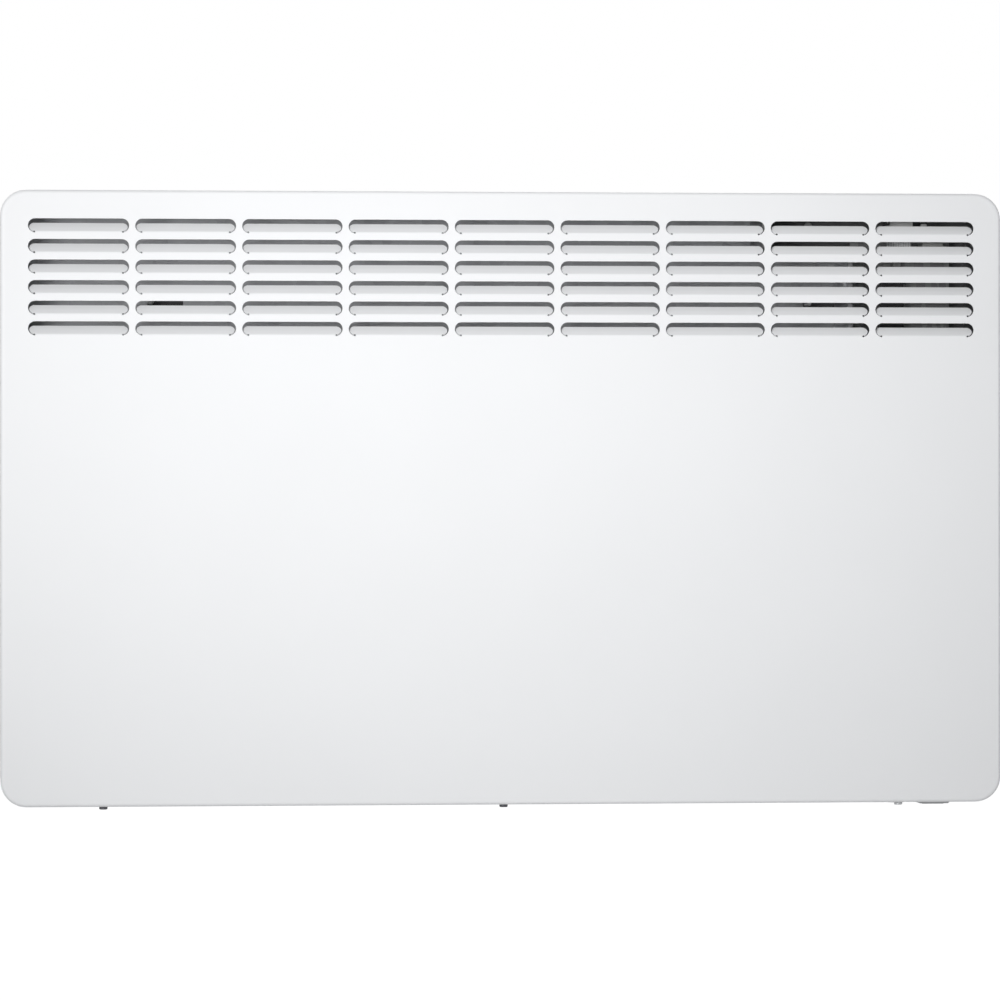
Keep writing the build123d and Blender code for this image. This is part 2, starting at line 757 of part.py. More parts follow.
with BuildPart() as latch_pins:
    for latch_x in latch_xs:
        pin_half = latch_ear_x + bracket_sheet
        with BuildSketch(Plane.YZ.offset(latch_x - pin_half)):
            with Locations((latch_pivot_y, latch_pivot_z)):
                Circle(latch_pin_radius)
        extrude(amount=2 * pin_half)
        for head_x in (latch_x - pin_half - latch_rivet_head, latch_x + pin_half):
            with BuildSketch(Plane.YZ.offset(head_x)):
                with Locations((latch_pivot_y, latch_pivot_z)):
                    Circle(latch_pin_radius + latch_rivet_head)
            extrude(amount=latch_rivet_head)

with BuildPart() as latch_lever:
    with BuildSketch(Plane.YZ.offset(-latch_width / 2)):
        with Locations((latch_pivot_y, latch_pivot_z)):
            Circle(latch_hub_radius)
        barb_back_y = panel_inner_y - latch_barb_gap
        barb_front_y = barb_back_y - latch_barb_depth
        barb_top_z = latch_pivot_z + latch_arm_half + latch_barb_height
        arm_bottom_z = latch_pivot_z - latch_arm_half
        arm_top_z = latch_pivot_z + latch_arm_half
        with BuildLine():
            Polyline(
                (latch_pivot_y, arm_bottom_z),
                (barb_front_y, arm_bottom_z),
                (barb_front_y, arm_top_z),
                (barb_back_y - latch_barb_depth / 4, barb_top_z),
                (barb_back_y, barb_top_z),
                (barb_back_y, arm_top_z),
                (latch_pivot_y, arm_top_z),
                close=True,
            )
        make_face()
        tab_back_y = latch_pivot_y - latch_tab_offset
        with Locations((tab_back_y - latch_tab_sheet / 2, latch_pivot_z - latch_tab_length / 2)):
            Rectangle(latch_tab_sheet, latch_tab_length)
        with Locations((latch_pivot_y, latch_pivot_z)):
            Circle(latch_pin_radius + pivot_clearance, mode=Mode.SUBTRACT)
    extrude(amount=latch_width)

with BuildPart() as latch_lever_left:
    with Locations((-latch_half_x, 0, 0)):
        add(latch_lever.part)

with BuildPart() as latch_lever_right:
    with Locations((latch_half_x, 0, 0)):
        add(latch_lever.part)

# ================================================================ mains switch
with BuildPart() as switch_body:
    with BuildSketch(Plane.XY.offset(bottom_z - switch_bezel_height)):
        with Locations((switch_x, switch_y)):
            Rectangle(switch_bezel_x, switch_bezel_y)
    extrude(amount=switch_bezel_height)
    chamfer(faces().sort_by(Axis.Z)[0].edges(), switch_bezel_bevel)
    with BuildSketch(Plane.XY.offset(bottom_z)):
        with Locations((switch_x, switch_y)):
            Rectangle(switch_body_x, switch_body_y)
    extrude(amount=switch_body_height)
    with BuildSketch(Plane.XY.offset(bottom_z - switch_bezel_height)):
        with Locations((switch_x, switch_y)):
            Rectangle(switch_well_x, 2 * switch_well_half_y)
    extrude(amount=switch_well_height, mode=Mode.SUBTRACT)
    trunnion_end = switch_well_x / 2 + trunnion_reach
    with BuildSketch(Plane.YZ.offset(switch_x - trunnion_end)):
        with Locations((switch_y, rocker_pivot_z)):
            Circle(trunnion_radius + pivot_clearance)
    extrude(amount=2 * trunnion_end, mode=Mode.SUBTRACT)

with BuildPart() as switch_rocker:
    rocker_plane = Plane(
        origin=(switch_x, switch_y, rocker_pivot_z), x_dir=(1, 0, 0), z_dir=(0, 0, 1)
    ).rotated((rocker_tilt, 0, 0))
    with BuildSketch(Plane(origin=rocker_plane.origin, x_dir=rocker_plane.y_dir, z_dir=(1, 0, 0))):
        Circle(rocker_end_radius)
        rocker_height = rocker_face_drop + rocker_back_rise
        with Locations((0, rocker_back_rise - rocker_height / 2)):
            Rectangle(2 * rocker_end_radius, rocker_height, mode=Mode.INTERSECT)
    extrude(amount=rocker_half_width, both=True)
    with BuildSketch(Plane.YZ.offset(switch_x)):
        with Locations((switch_y, rocker_pivot_z)):
            Circle(trunnion_radius)
    extrude(amount=switch_well_x / 2 + trunnion_reach - pivot_clearance, both=True)

with BuildPart() as switch_terminals:
    with BuildSketch(Plane.XY.offset(switch_top_z)):
        with Locations((switch_x, switch_y)):
            with GridLocations(2 * blade_offset_x, 2 * blade_offset_y, 2, 2):
                Rectangle(blade_thick, blade_width)
    extrude(amount=blade_length)

# ================================================================ cable gland
with BuildPart() as cable_gland:
    with BuildSketch(Plane.XY.offset(bottom_z)):
        with Locations((gland_x, gland_y)):
            Circle(gland_flange_radius)
    extrude(amount=-gland_flange_height)
    fillet(faces().sort_by(Axis.Z)[0].edges(), gland_flange_height / 2)
    with BuildSketch(Plane.XY.offset(bottom_z)):
        with Locations((gland_x, gland_y)):
            Circle(gland_body_radius)
    extrude(amount=gland_body_height)
    with BuildSketch(Plane.XY.offset(bottom_z - gland_flange_height)):
        with Locations((gland_x, gland_y)):
            Circle(gland_bore_radius)
    extrude(amount=gland_flange_height + gland_body_height, mode=Mode.SUBTRACT)

# ================================================================ control housing
with BuildPart() as control_housing:
    with BuildSketch(Plane.XZ.offset(-panel_inner_y)) as housing_outline:
        with BuildLine():
            Polyline(
                (housing_left_x, housing_floor_z),
                (housing_right_x, housing_floor_z),
                (housing_right_x, housing_top_z),
                (housing_arm_left_x, housing_top_z),
                (housing_arm_left_x, housing_step_z),
                (housing_left_x, housing_step_z),
                close=True,
            )
        make_face()
        top_corners = vertices().group_by(Axis.Y)[-1]
        fillet(top_corners.sort_by(Axis.X)[-1], corner_radius - casing_sheet)
    extrude(amount=panel_inner_y - housing_front_y)
    with BuildSketch(Plane.XZ.offset(-housing_back_y)):
        add(housing_outline.sketch_local)
        offset(amount=-housing_wall, kind=Kind.INTERSECTION, mode=Mode.REPLACE)
    extrude(amount=housing_back_y - housing_front_y, mode=Mode.SUBTRACT)
    with BuildSketch(Plane.XY.offset(housing_top_z)):
        with Locations((fascia_x, fascia_y)):
            Rectangle(fascia_length, fascia_depth)
    extrude(amount=-2 * housing_wall, mode=Mode.SUBTRACT)
    # skirt that closes the compartment down to the panel's floor
    with BuildSketch(Plane.YZ.offset(housing_left_x)):
        skirt_height = housing_floor_z - panel_floor_z + housing_wall
        skirt_depth = panel_inner_y - housing_front_y
        with Locations(((panel_inner_y + housing_front_y) / 2, panel_floor_z + skirt_height / 2)):
            Rectangle(skirt_depth, skirt_height)
    extrude(amount=housing_wall)
    # lip over the partition's front edge
    with BuildSketch(Plane.XZ.offset(-housing_front_y)):
        lip_height = housing_step_z - panel_floor_z
        with Locations((housing_left_x + (housing_wall - end_plate_thick) / 2, panel_floor_z + lip_height / 2)):
            Rectangle(housing_wall + end_plate_thick, lip_height)
    extrude(amount=-housing_lip)
    board_bosses = [
        (boss_x, boss_z)
        for boss_x in (board_left_x + board_hole_side_inset, board_right_x - board_hole_side_inset)
        for boss_z in (board_bottom_z + board_hole_bottom_inset, board_top_z - board_hole_top_inset)
    ]
    with BuildSketch(Plane.XZ.offset(-housing_back_y)):
        with Locations(*board_bosses):
            Circle(housing_boss_radius)
    extrude(amount=board_standoff)
    with BuildSketch(Plane.XZ.offset(-board_back_y)):
        with Locations(*board_bosses):
            Circle(pan_shank_radius + screw_clearance)
    extrude(amount=-(board_standoff - housing_wall), mode=Mode.SUBTRACT)
    with BuildSketch(Plane.XZ.offset(-panel_inner_y)):
        with Locations(*housing_screw_places):
            Circle(pan_shank_radius + screw_clearance)
    extrude(amount=housing_wall, mode=Mode.SUBTRACT)
    # way through the floor for the switch and its leads, the mains lead, the sensor and the long lead
    with BuildSketch(Plane.XY.offset(housing_floor_z)):
        with Locations(((switch_x + earth_x) / 2, (switch_y + earth_barrel_y) / 2)):
            well_x_size = earth_x - switch_x + switch_body_x
            well_y_size = earth_barrel_y - switch_y + switch_body_y
            Rectangle(well_x_size, well_y_size)
        with Locations((gland_x, gland_y)):
            Circle(gland_body_radius)
        with Locations((sensor_x, sensor_y), (long_lead_x, long_lead_y)):
            Circle(lead_hole_radius)
    extrude(amount=housing_wall, mode=Mode.SUBTRACT)
    # way through the side wall to the element and the cut-out
    with BuildSketch(Plane.YZ.offset(housing_left_x)):
        with Locations((element_y, (element_z + cutout_z) / 2)):
            Rectangle(3 * cutout_radius, cutout_z - element_z + 2 * bushing_flange_radius)
        with Locations((long_lead_y, long_lead_z)):
            Circle(lead_hole_radius)
        with Locations(*partition_side_rivets):
            Circle(rivet_radius + rivet_clearance)
    extrude(amount=housing_wall, mode=Mode.SUBTRACT)
    with BuildSketch(Plane.YZ.offset(housing_right_x)):
        with Locations(*screen_rivets):
            Circle(rivet_radius + rivet_clearance)
    extrude(amount=-housing_wall, mode=Mode.SUBTRACT)

# ================================================================ partition between the element and the housing
with BuildPart() as partition_plate:
    partition_front_y = housing_front_y + housing_lip
    with BuildSketch(Plane.XY.offset(panel_floor_z)):
        with Locations((compartment_wall_x - end_plate_thick / 2, (panel_inner_y + partition_front_y) / 2)):
            Rectangle(end_plate_thick, panel_inner_y - partition_front_y)
    extrude(amount=housing_step_z - panel_floor_z)
    with BuildSketch(Plane.XZ.offset(-panel_inner_y)):
        partition_flange_height = partition_flange_top_z - partition_flange_bottom_z
        with Locations((partition_flange_x, (partition_flange_top_z + partition_flange_bottom_z) / 2)):
            Rectangle(end_flange, partition_flange_height)
        with Locations(*partition_rivet_places):
            Circle(rivet_radius + rivet_clearance, mode=Mode.SUBTRACT)
    extrude(amount=end_plate_thick)
    with BuildSketch(Plane.YZ.offset(compartment_wall_x)):
        with Locations((element_y, (element_z + cutout_z) / 2)):
            Rectangle(3 * cutout_radius, cutout_z - element_z + 2 * bushing_flange_radius)
        with Locations((long_lead_y, long_lead_z)):
            Circle(lead_hole_radius)
        with Locations(*partition_side_rivets):
            Circle(rivet_radius + rivet_clearance)
    extrude(amount=-end_plate_thick, mode=Mode.SUBTRACT)

# ================================================================ earthed screen on the housing's right wall
with BuildPart() as side_screen:
    screen_outer_x = housing_right_x - housing_wall
    screen_front_y = housing_front_y + screen_front_gap
    screen_height = screen_top_z - screen_bottom_z
    with BuildSketch(Plane.YZ.offset(screen_outer_x)):
        with Locations(((housing_back_y + screen_front_y) / 2, (screen_top_z + screen_bottom_z) / 2)):
            RectangleRounded(housing_back_y - screen_front_y, screen_height, screen_corner)
        with Locations(*screen_rivets):
            Circle(rivet_radius + rivet_clearance, mode=Mode.SUBTRACT)
    extrude(amount=-screen_sheet)

# ================================================================ power board and what it carries
with BuildPart() as power_board:
    with BuildSketch(Plane.XZ.offset(-board_back_y)):
        with Locations(((board_left_x + board_right_x) / 2, (board_bottom_z + board_top_z) / 2)):
            Rectangle(board_right_x - board_left_x, board_height)
        with Locations(*board_bosses):
            Circle(pan_shank_radius + screw_clearance, mode=Mode.SUBTRACT)
    extrude(amount=board_thick)

with BuildPart() as board_terminals:
    with BuildSketch(Plane.XZ.offset(-board_front_y)):
        with Locations(*[(way_x, way_base_z + way_height / 2) for way_x in way_xs]):
            Rectangle(way_pitch - way_groove, way_height)
        with Locations(((way_xs[0] + way_xs[-1]) / 2, way_base_z + way_height / 4)):
            Rectangle(way_xs[-1] - way_xs[0] + way_pitch, way_height / 2)
    extrude(amount=way_depth)
    with BuildSketch(Plane.XZ.offset(-board_front_y + way_depth)):
        with Locations(*[(way_x, way_base_z + way_height / 2) for way_x in way_xs]):
            Circle(way_height / 6)
    extrude(amount=-way_depth / 4, mode=Mode.SUBTRACT)

with BuildPart() as board_relays:
    with BuildSketch(Plane.XZ.offset(-board_front_y)):
        with Locations(*relay_places):
            Rectangle(relay_x_size, relay_z_size)
    extrude(amount=relay_depth)
    fillet(edges().group_by(Axis.Y)[0], component_edge)

with BuildPart() as board_transformer:
    with BuildSketch(Plane.XZ.offset(-board_front_y)):
        with Locations(transformer_place):
            Rectangle(transformer_x_size, transformer_z_size)
    extrude(amount=transformer_depth)
    with BuildSketch(Plane.XZ.offset(-board_front_y + transformer_depth)):
        with Locations(transformer_place):
            Rectangle(winding_x_size, winding_z_size)
    extrude(amount=winding_depth)
    chamfer(edges().group_by(Axis.Y)[0], component_edge)

with BuildPart() as board_capacitors:
    with BuildSketch(Plane.XZ.offset(-board_front_y)):
        with Locations(*capacitor_places):
            Circle(capacitor_radius)
    extrude(amount=capacitor_length)
    fillet(edges().group_by(Axis.Y)[0], component_edge)

with BuildPart() as filter_capacitor:
    with BuildSketch(Plane.XZ.offset(-board_front_y)):
        with Locations(filter_place):
            Rectangle(filter_x_size, filter_z_size)
    extrude(amount=filter_depth)
    fillet(edges().group_by(Axis.Y)[0], component_edge)

# ================================================================ fascia, display and buttons
display_bosses = [
    (display_board_x + side_x * (display_board_x_size / 2 - display_hole_inset),
     fascia_y + side_y * (display_board_y_size / 2 - display_hole_inset))
    for side_x in (-1, 1)
    for side_y in (-1, 1)
]

with BuildPart() as control_fascia:
    with BuildSketch(Plane.XY.offset(fascia_under_z)):
        with Locations((fascia_x, fascia_y)):
            Rectangle(fascia_length - 2 * fascia_fit, fascia_depth - 2 * fascia_fit)
    extrude(amount=fascia_plate)
    with BuildSketch(Plane.XY.offset(top_z)):
        with Locations((fascia_x, fascia_y)):
            RectangleRounded(fascia_length + 2 * fascia_lap, fascia_depth + 2 * fascia_lap, 2 * fascia_lap)
    extrude(amount=fascia_proud)
    chamfer(faces().sort_by(Axis.Z)[-1].edges(), fascia_proud / 2)
    with BuildSketch(Plane.XY.offset(fascia_top_z)):
        with Locations((window_x, fascia_y)):
            Rectangle(window_length + 2 * window_fit, window_depth + 2 * window_fit)
    extrude(amount=-(window_thick + window_recess), mode=Mode.SUBTRACT)
    with BuildSketch(Plane.XY.offset(fascia_top_z)):
        with Locations((window_x, fascia_y)):
            Rectangle(window_length - 2 * window_ledge, window_depth - 2 * window_ledge)
        with Locations(*[(button_x, fascia_y) for button_x in button_xs]):
            Circle(button_radius + button_gap)
    extrude(amount=-fascia_plate, mode=Mode.SUBTRACT)
    with BuildSketch(Plane.XY.offset(display_board_top_z)):
        with Locations(*display_bosses):
            Circle(display_boss_radius)
    extrude(amount=fascia_under_z - display_board_top_z)
    with BuildSketch(Plane.XY.offset(display_board_top_z)):
        with Locations(*display_bosses):
            Circle(pan_shank_radius + screw_clearance)
    extrude(amount=board_screw_length, mode=Mode.SUBTRACT)

with BuildPart() as lcd_window:
    with BuildSketch(Plane.XY.offset(fascia_top_z - window_recess)):
        with Locations((window_x, fascia_y)):
            Rectangle(window_length, window_depth)
    extrude(amount=-window_thick)

with BuildPart() as lcd_module:
    with BuildSketch(Plane.XY.offset(display_board_top_z)):
        with Locations((window_x, fascia_y)):
            module_x_size = window_length + 2 * display_module_margin
            module_y_size = window_depth + 2 * display_module_margin
            Rectangle(module_x_size, module_y_size)
    extrude(amount=fascia_under_z - display_module_gap - display_board_top_z)
    chamfer(faces().sort_by(Axis.Z)[-1].edges(), display_module_gap)

with BuildPart() as display_board:
    with BuildSketch(Plane.XY.offset(display_board_top_z)):
        with Locations((display_board_x, fascia_y)):
            Rectangle(display_board_x_size, display_board_y_size)
        with Locations(*display_bosses):
            Circle(pan_shank_radius + screw_clearance, mode=Mode.SUBTRACT)
    extrude(amount=-board_thick)

with BuildPart() as tact_switches:
    with BuildSketch(Plane.XY.offset(display_board_top_z)):
        with Locations(*[(button_x, fascia_y) for button_x in button_xs]):
            Rectangle(tact_side, tact_side)
    extrude(amount=tact_height)
    with BuildSketch(Plane.XY.offset(display_board_top_z + tact_height)):
        with Locations(*[(button_x, fascia_y) for button_x in button_xs]):
            Circle(tact_plunger_radius)
    extrude(amount=tact_plunger_height)

with BuildPart() as button:
    flange_top_z = fascia_under_z - button_play
    with BuildSketch(Plane.XY.offset(flange_top_z - button_flange_height)):
        Circle(button_radius + button_flange)
    extrude(amount=button_flange_height)
    with BuildSketch(Plane.XY.offset(flange_top_z)):
        Circle(button_radius)
    extrude(amount=button_top_z - flange_top_z)
    fillet(faces().sort_by(Axis.Z)[-1].edges(), button_proud / 2)
    with BuildSketch(Plane.XY.offset(tact_top_z + button_travel + tact_gap)):
        Circle(button_stem_radius)
    extrude(until=Until.NEXT)

# the mark in each cap: three bars, a minus, a plus and a ring
with BuildSketch(Plane.XY.offset(button_top_z)) as menu_mark:
    with GridLocations(mark_length, mark_pitch, 1, 3):
        Rectangle(mark_length, mark_line)
with BuildSketch(Plane.XY.offset(button_top_z)) as minus_mark:
    Rectangle(mark_length, mark_line)
with BuildSketch(Plane.XY.offset(button_top_z)) as plus_mark:
    Rectangle(mark_length, mark_line)
    Rectangle(mark_line, mark_length)
with BuildSketch(Plane.XY.offset(button_top_z)) as ok_mark:
    Circle(mark_length / 2)
    Circle(mark_length / 2 - mark_line, mode=Mode.SUBTRACT)

button_marks = (menu_mark, minus_mark, plus_mark, ok_mark)
buttons = {}
for button_name, button_x, mark in zip(button_names, button_xs, button_marks):
    with BuildPart() as marked_button:
        add(button.part)
        extrude(mark.sketch, amount=-mark_depth, mode=Mode.SUBTRACT)
    with BuildPart() as placed_button:
        with Locations((button_x, fascia_y, 0)):
            add(marked_button.part)
    buttons[button_name] = placed_button

# ================================================================ connectors and ribbon between the boards
with BuildPart() as board_connectors:
    with BuildSketch(Plane.XY.offset(display_board_top_z - board_thick)):
        with Locations((ribbon_x, ribbon_y)):
            Rectangle(connector_length, connector_width)
    extrude(amount=-connector_height)
    with BuildSketch(Plane.XZ.offset(-board_front_y)):
        with Locations((ribbon_x, ribbon_header_z)):
            Rectangle(connector_length, connector_header)
    extrude(amount=connector_width)

ribbon_top_z = display_board_top_z - board_thick - connector_height
ribbon_path = FilletPolyline(
    (ribbon_x, ribbon_y, ribbon_top_z),
    (ribbon_x, ribbon_y, ribbon_header_z),
    (ribbon_x, board_front_y - connector_width, ribbon_header_z),
    radius=ribbon_bend,
)
with BuildPart() as ribbon_lead:
    with BuildSketch(Plane(origin=ribbon_path @ 0, x_dir=(1, 0, 0), z_dir=(0, 0, -1))):
        Rectangle(connector_length - 2 * ribbon_margin, ribbon_thick)
    sweep(path=ribbon_path)

# ================================================================ screws of the two boards and of the housing

def pan_screw(shank_length):
    """A cross-recessed pan-head screw that points down, with its head's seat at the origin."""
    with BuildPart() as screw:
        with BuildSketch(Plane.XY):
            Circle(pan_head_radius)
        extrude(amount=pan_head)
        fillet(faces().sort_by(Axis.Z)[-1].edges(), pan_head / 3)
        with BuildSketch(Plane.XY):
            Circle(pan_shank_radius)
        extrude(amount=-shank_length)
        with BuildSketch(Plane.XY.offset(pan_head)):
            Rectangle(pan_head_radius, pan_head_radius / 5)
            Rectangle(pan_head_radius / 5, pan_head_radius)
        extrude(amount=-pan_head / 2, mode=Mode.SUBTRACT)
    return screw.part


with BuildPart() as board_screws:
    with Locations(*[Plane(origin=(x, board_front_y, z), z_dir=(0, -1, 0)).location for x, z in board_bosses]):
        add(pan_screw(board_screw_length))
    under_z = display_board_top_z - board_thick
    with Locations(*[Plane(origin=(x, y, under_z), z_dir=(0, 0, -1)).location for x, y in display_bosses]):
        add(pan_screw(board_screw_length))

with BuildPart() as housing_screws:
    seats = [Plane(origin=(x, housing_back_y, z), z_dir=(0, -1, 0)).location for x, z in housing_screw_places]
    with Locations(*seats):
        add(pan_screw(housing_screw_length))

# ================================================================ mains terminal block and earth tag
with BuildPart() as terminal_block:
    with BuildSketch(Plane.XZ.offset(-housing_back_y)):
        with Locations((block_x, block_way_z)):
            Rectangle(block_x_size, block_z_size)
    extrude(amount=block_y_size)
    fillet(edges().group_by(Axis.Y)[0], component_edge)
    with BuildSketch(Plane.XY.offset(block_base_z + block_z_size)):
        with Locations(*[(way_x, housing_back_y - block_y_size / 2) for way_x in block_way_xs]):
            Circle(block_pitch / 4)
    extrude(amount=-block_z_size / 4, mode=Mode.SUBTRACT)

with BuildPart() as earth_tag:
    with BuildSketch(Plane.XY.offset(panel_floor_z)):
        with Locations((earth_x, (earth_screw_y + earth_barrel_y) / 2)):
            RectangleRounded(earth_tag_x_size, earth_tag_y_size, earth_tag_x_size / 4)
        with Locations((earth_x, earth_screw_y)):
            Circle(earth_screw_radius + screw_clearance, mode=Mode.SUBTRACT)
    extrude(amount=earth_tag_sheet)
    with BuildSketch(Plane.XY.offset(panel_floor_z + earth_tag_sheet)):
        with Locations((earth_x, earth_barrel_y)):
            Circle(earth_barrel_radius)
    extrude(amount=earth_barrel_height)

with BuildPart() as earth_screw:
    with BuildSketch(Plane.XY.offset(panel_floor_z + earth_tag_sheet)):
        with Locations((earth_x, earth_screw_y)):
            Circle(earth_screw_head_radius)
    extrude(amount=earth_screw_head)
    fillet(faces().sort_by(Axis.Z)[-1].edges(), earth_screw_head / 3)
    with BuildSketch(Plane.XY.offset(-panel_half_height)):
        with Locations((earth_x, earth_screw_y)):
            Circle(earth_screw_radius)
    extrude(amount=panel_sheet + earth_tag_sheet)

# ================================================================ heating element
with BuildPart() as element_fins:
    with BuildSketch(Plane.YZ.offset(fins_left_x)):
        with Locations((element_y, element_z)):
            Circle(core_radius)
            for arm_angle in (fin_arm_angle, 180 - fin_arm_angle, 180 + fin_arm_angle, -fin_arm_angle):
                arm = Location((0, 0), arm_angle + 90)
                with Locations(arm):
                    with Locations((fin_arm_length / 2, 0)):
                        Rectangle(fin_arm_length, fin_arm_thick)
                    with Locations(*[(fin_rib_first + rib * fin_rib_pitch, 0) for rib in range(fin_rib_count)]):
                        Rectangle(fin_rib_thick, fin_rib_length)
            Circle(sheath_radius + running_gap, mode=Mode.SUBTRACT)
    extrude(amount=fins_right_x - fins_left_x)

sheath_left_x = end_plate_left_x - sheath_end_reach
sheath_right_x = end_plate_right_x + end_plate_thick + sheath_end_reach
with BuildPart() as element_sheath:
    with BuildSketch(Plane.YZ.offset(sheath_left_x)):
        with Locations((element_y, element_z)):
            Circle(sheath_radius)
    extrude(amount=sheath_right_x - sheath_left_x)

with BuildPart() as element_pins:
    for pin_start_x in (sheath_left_x - terminal_reach, sheath_right_x):
        with BuildSketch(Plane.YZ.offset(pin_start_x)):
            with Locations((element_y, element_z)):
                Circle(terminal_radius)
        extrude(amount=terminal_reach)

with BuildPart() as element_bushings:
    bushing_ends = (
        (end_plate_left_x + end_plate_thick, bushing_flange, bushing_flange - bushing_length),
        (end_plate_right_x, -bushing_flange, bushing_length - bushing_flange),
    )
    for seat_x, flange_reach, body_reach in bushing_ends:
        for bushing_r, reach in ((bushing_flange_radius, flange_reach), (bushing_radius, body_reach)):
            with BuildSketch(Plane.YZ.offset(seat_x)):
                with Locations((element_y, element_z)):
                    Circle(bushing_r)
                    Circle(sheath_radius + running_gap, mode=Mode.SUBTRACT)
            extrude(amount=reach)

with BuildPart() as end_plate:
    with BuildSketch(Plane.XY.offset(end_plate_bottom_z)):
        with Locations((end_plate_thick / 2, (shield_back_y + panel_inner_y) / 2)):
            Rectangle(end_plate_thick, panel_inner_y - shield_back_y)
        for flange_y in (shield_back_y + end_plate_thick / 2, panel_inner_y - end_plate_thick / 2):
            with Locations((end_plate_thick + end_flange / 2 - end_plate_thick / 2, flange_y)):
                Rectangle(end_flange + end_plate_thick, end_plate_thick)
    extrude(amount=end_plate_top_z - end_plate_bottom_z)
    with BuildSketch(Plane.YZ):
        with Locations((element_y, element_z)):
            Circle(bushing_radius + running_gap)
    extrude(amount=end_plate_thick, mode=Mode.SUBTRACT)
    with BuildSketch(Plane.XZ):
        with Locations(*[(end_plate_thick + end_flange / 2, rivet_z) for rivet_z in rivet_zs]):
            Circle(rivet_radius + rivet_clearance)
    extrude(amount=casing_depth + wall_gap, mode=Mode.SUBTRACT)

with BuildPart() as element_plate_right:
    with Locations((end_plate_right_x, 0, 0)):
        add(end_plate.part)

with BuildPart() as element_plate_left:
    with Locations((-end_plate_left_x - end_plate_thick, 0, 0)):
        add(end_plate.part)
    mirror(about=Plane.YZ, mode=Mode.REPLACE)

# ================================================================ heat shield and rivets
shield_left_x = end_plate_left_x - end_flange - shield_overhang
shield_right_x = end_plate_right_x + end_plate_thick + end_flange + shield_overhang
with BuildPart() as heat_shield:
    with BuildSketch(Plane.YZ.offset(shield_left_x)):
        shield_height = shield_top_z - shield_bottom_z
        with Locations((shield_front_y + shield_sheet / 2, (shield_top_z + shield_bottom_z) / 2)):
            Rectangle(shield_sheet, shield_height)
        for fold_z in (shield_bottom_z + shield_sheet / 2, shield_top_z - shield_sheet / 2):
            with Locations((shield_front_y + shield_fold / 2, fold_z)):
                Rectangle(shield_fold, shield_sheet)
    extrude(amount=shield_right_x - shield_left_x)
    with BuildSketch(Plane.XZ.offset(-shield_back_y)):
        with Locations(*rivet_places):
            Circle(rivet_radius + rivet_clearance)
    extrude(amount=shield_sheet, mode=Mode.SUBTRACT)

with BuildPart() as rivets:
    front_stack = (shield_front_y, shield_back_y + end_plate_thick, rivet_places)
    rear_stack = (panel_inner_y - end_plate_thick, back_y, rivet_places + partition_rivet_places)
    for stack_front_y, stack_back_y, places in (front_stack, rear_stack):
        with BuildSketch(Plane.XZ.offset(-stack_back_y)):
            with Locations(*places):
                Circle(rivet_radius)
        extrude(amount=stack_back_y - stack_front_y)
        with BuildSketch(Plane.XZ.offset(-stack_front_y)):
            with Locations(*places):
                Circle(rivet_head_radius)
        extrude(amount=rivet_head)
        with BuildSketch(Plane.XZ.offset(-stack_back_y)):
            with Locations(*places):
                Circle(rivet_head_radius)
        extrude(amount=-rivet_head)
    # the partition's and the screen's rivets, across the housing's side walls
    left_stack = (compartment_wall_x - end_plate_thick, housing_left_x + housing_wall, partition_side_rivets)
    right_stack = (housing_right_x - housing_wall - screen_sheet, housing_right_x, screen_rivets)
    for stack_left_x, stack_right_x, places in (left_stack, right_stack):
        with BuildSketch(Plane.YZ.offset(stack_left_x - rivet_head)):
            with Locations(*places):
                Circle(rivet_head_radius)
        extrude(amount=rivet_head)
        with BuildSketch(Plane.YZ.offset(stack_left_x)):
            with Locations(*places):
                Circle(rivet_radius)
        extrude(amount=stack_right_x - stack_left_x)
        with BuildSketch(Plane.YZ.offset(stack_right_x)):
            with Locations(*places):
                Circle(rivet_head_radius)
        extrude(amount=rivet_head)

# ================================================================ safety cut-out
with BuildPart() as safety_cutout:
    with BuildSketch(Plane.YZ.offset(cutout_x)):
        with Locations((element_y, cutout_z)):
            Circle(cutout_radius)
    extrude(amount=cutout_length)
    fillet(edges().group_by(Axis.X)[-1], component_edge)
    with BuildSketch(Plane.YZ.offset(cutout_x + cutout_length)):
        with Locations((element_y, cutout_z)):
            with GridLocations(cutout_blade_spread, 1, 2, 1):
                Rectangle(blade_thick, blade_width)
    extrude(amount=cutout_blade_reach)

# ================================================================ room sensor
with BuildPart() as sensor_clip:
    with BuildSketch(Plane.XY.offset(panel_floor_z)):
        with Locations((sensor_x, sensor_y)):
            Rectangle(sensor_clip_side, sensor_clip_side)
            Circle(sensor_radius + running_gap, mode=Mode.SUBTRACT)
    extrude(amount=sensor_clip_height)

with BuildPart() as room_sensor:
    with BuildSketch(Plane.XY.offset(panel_floor_z)):
        with Locations((sensor_x, sensor_y)):
            Circle(sensor_radius)
    extrude(amount=sensor_length)
    fillet(faces().sort_by(Axis.Z)[0].edges(), sensor_radius / 2)

# ================================================================ internal leads
blade_left_x = switch_x - blade_offset_x
blade_right_x = switch_x + blade_offset_x
blade_front_y = switch_y - blade_offset_y
blade_rear_y = switch_y + blade_offset_y
cutout_ys = (element_y + cutout_blade_spread / 2, element_y - cutout_blade_spread / 2)
way_cutout_x, way_element_x, way_sensor_x, way_live_x, way_neutral_x = way_xs
riser_z = block_way_z + riser_rise
left_pin_x = sheath_left_x - terminal_reach / 2
right_pin_x = sheath_right_x + terminal_reach
right_loop_x = right_pin_x + pin_loop

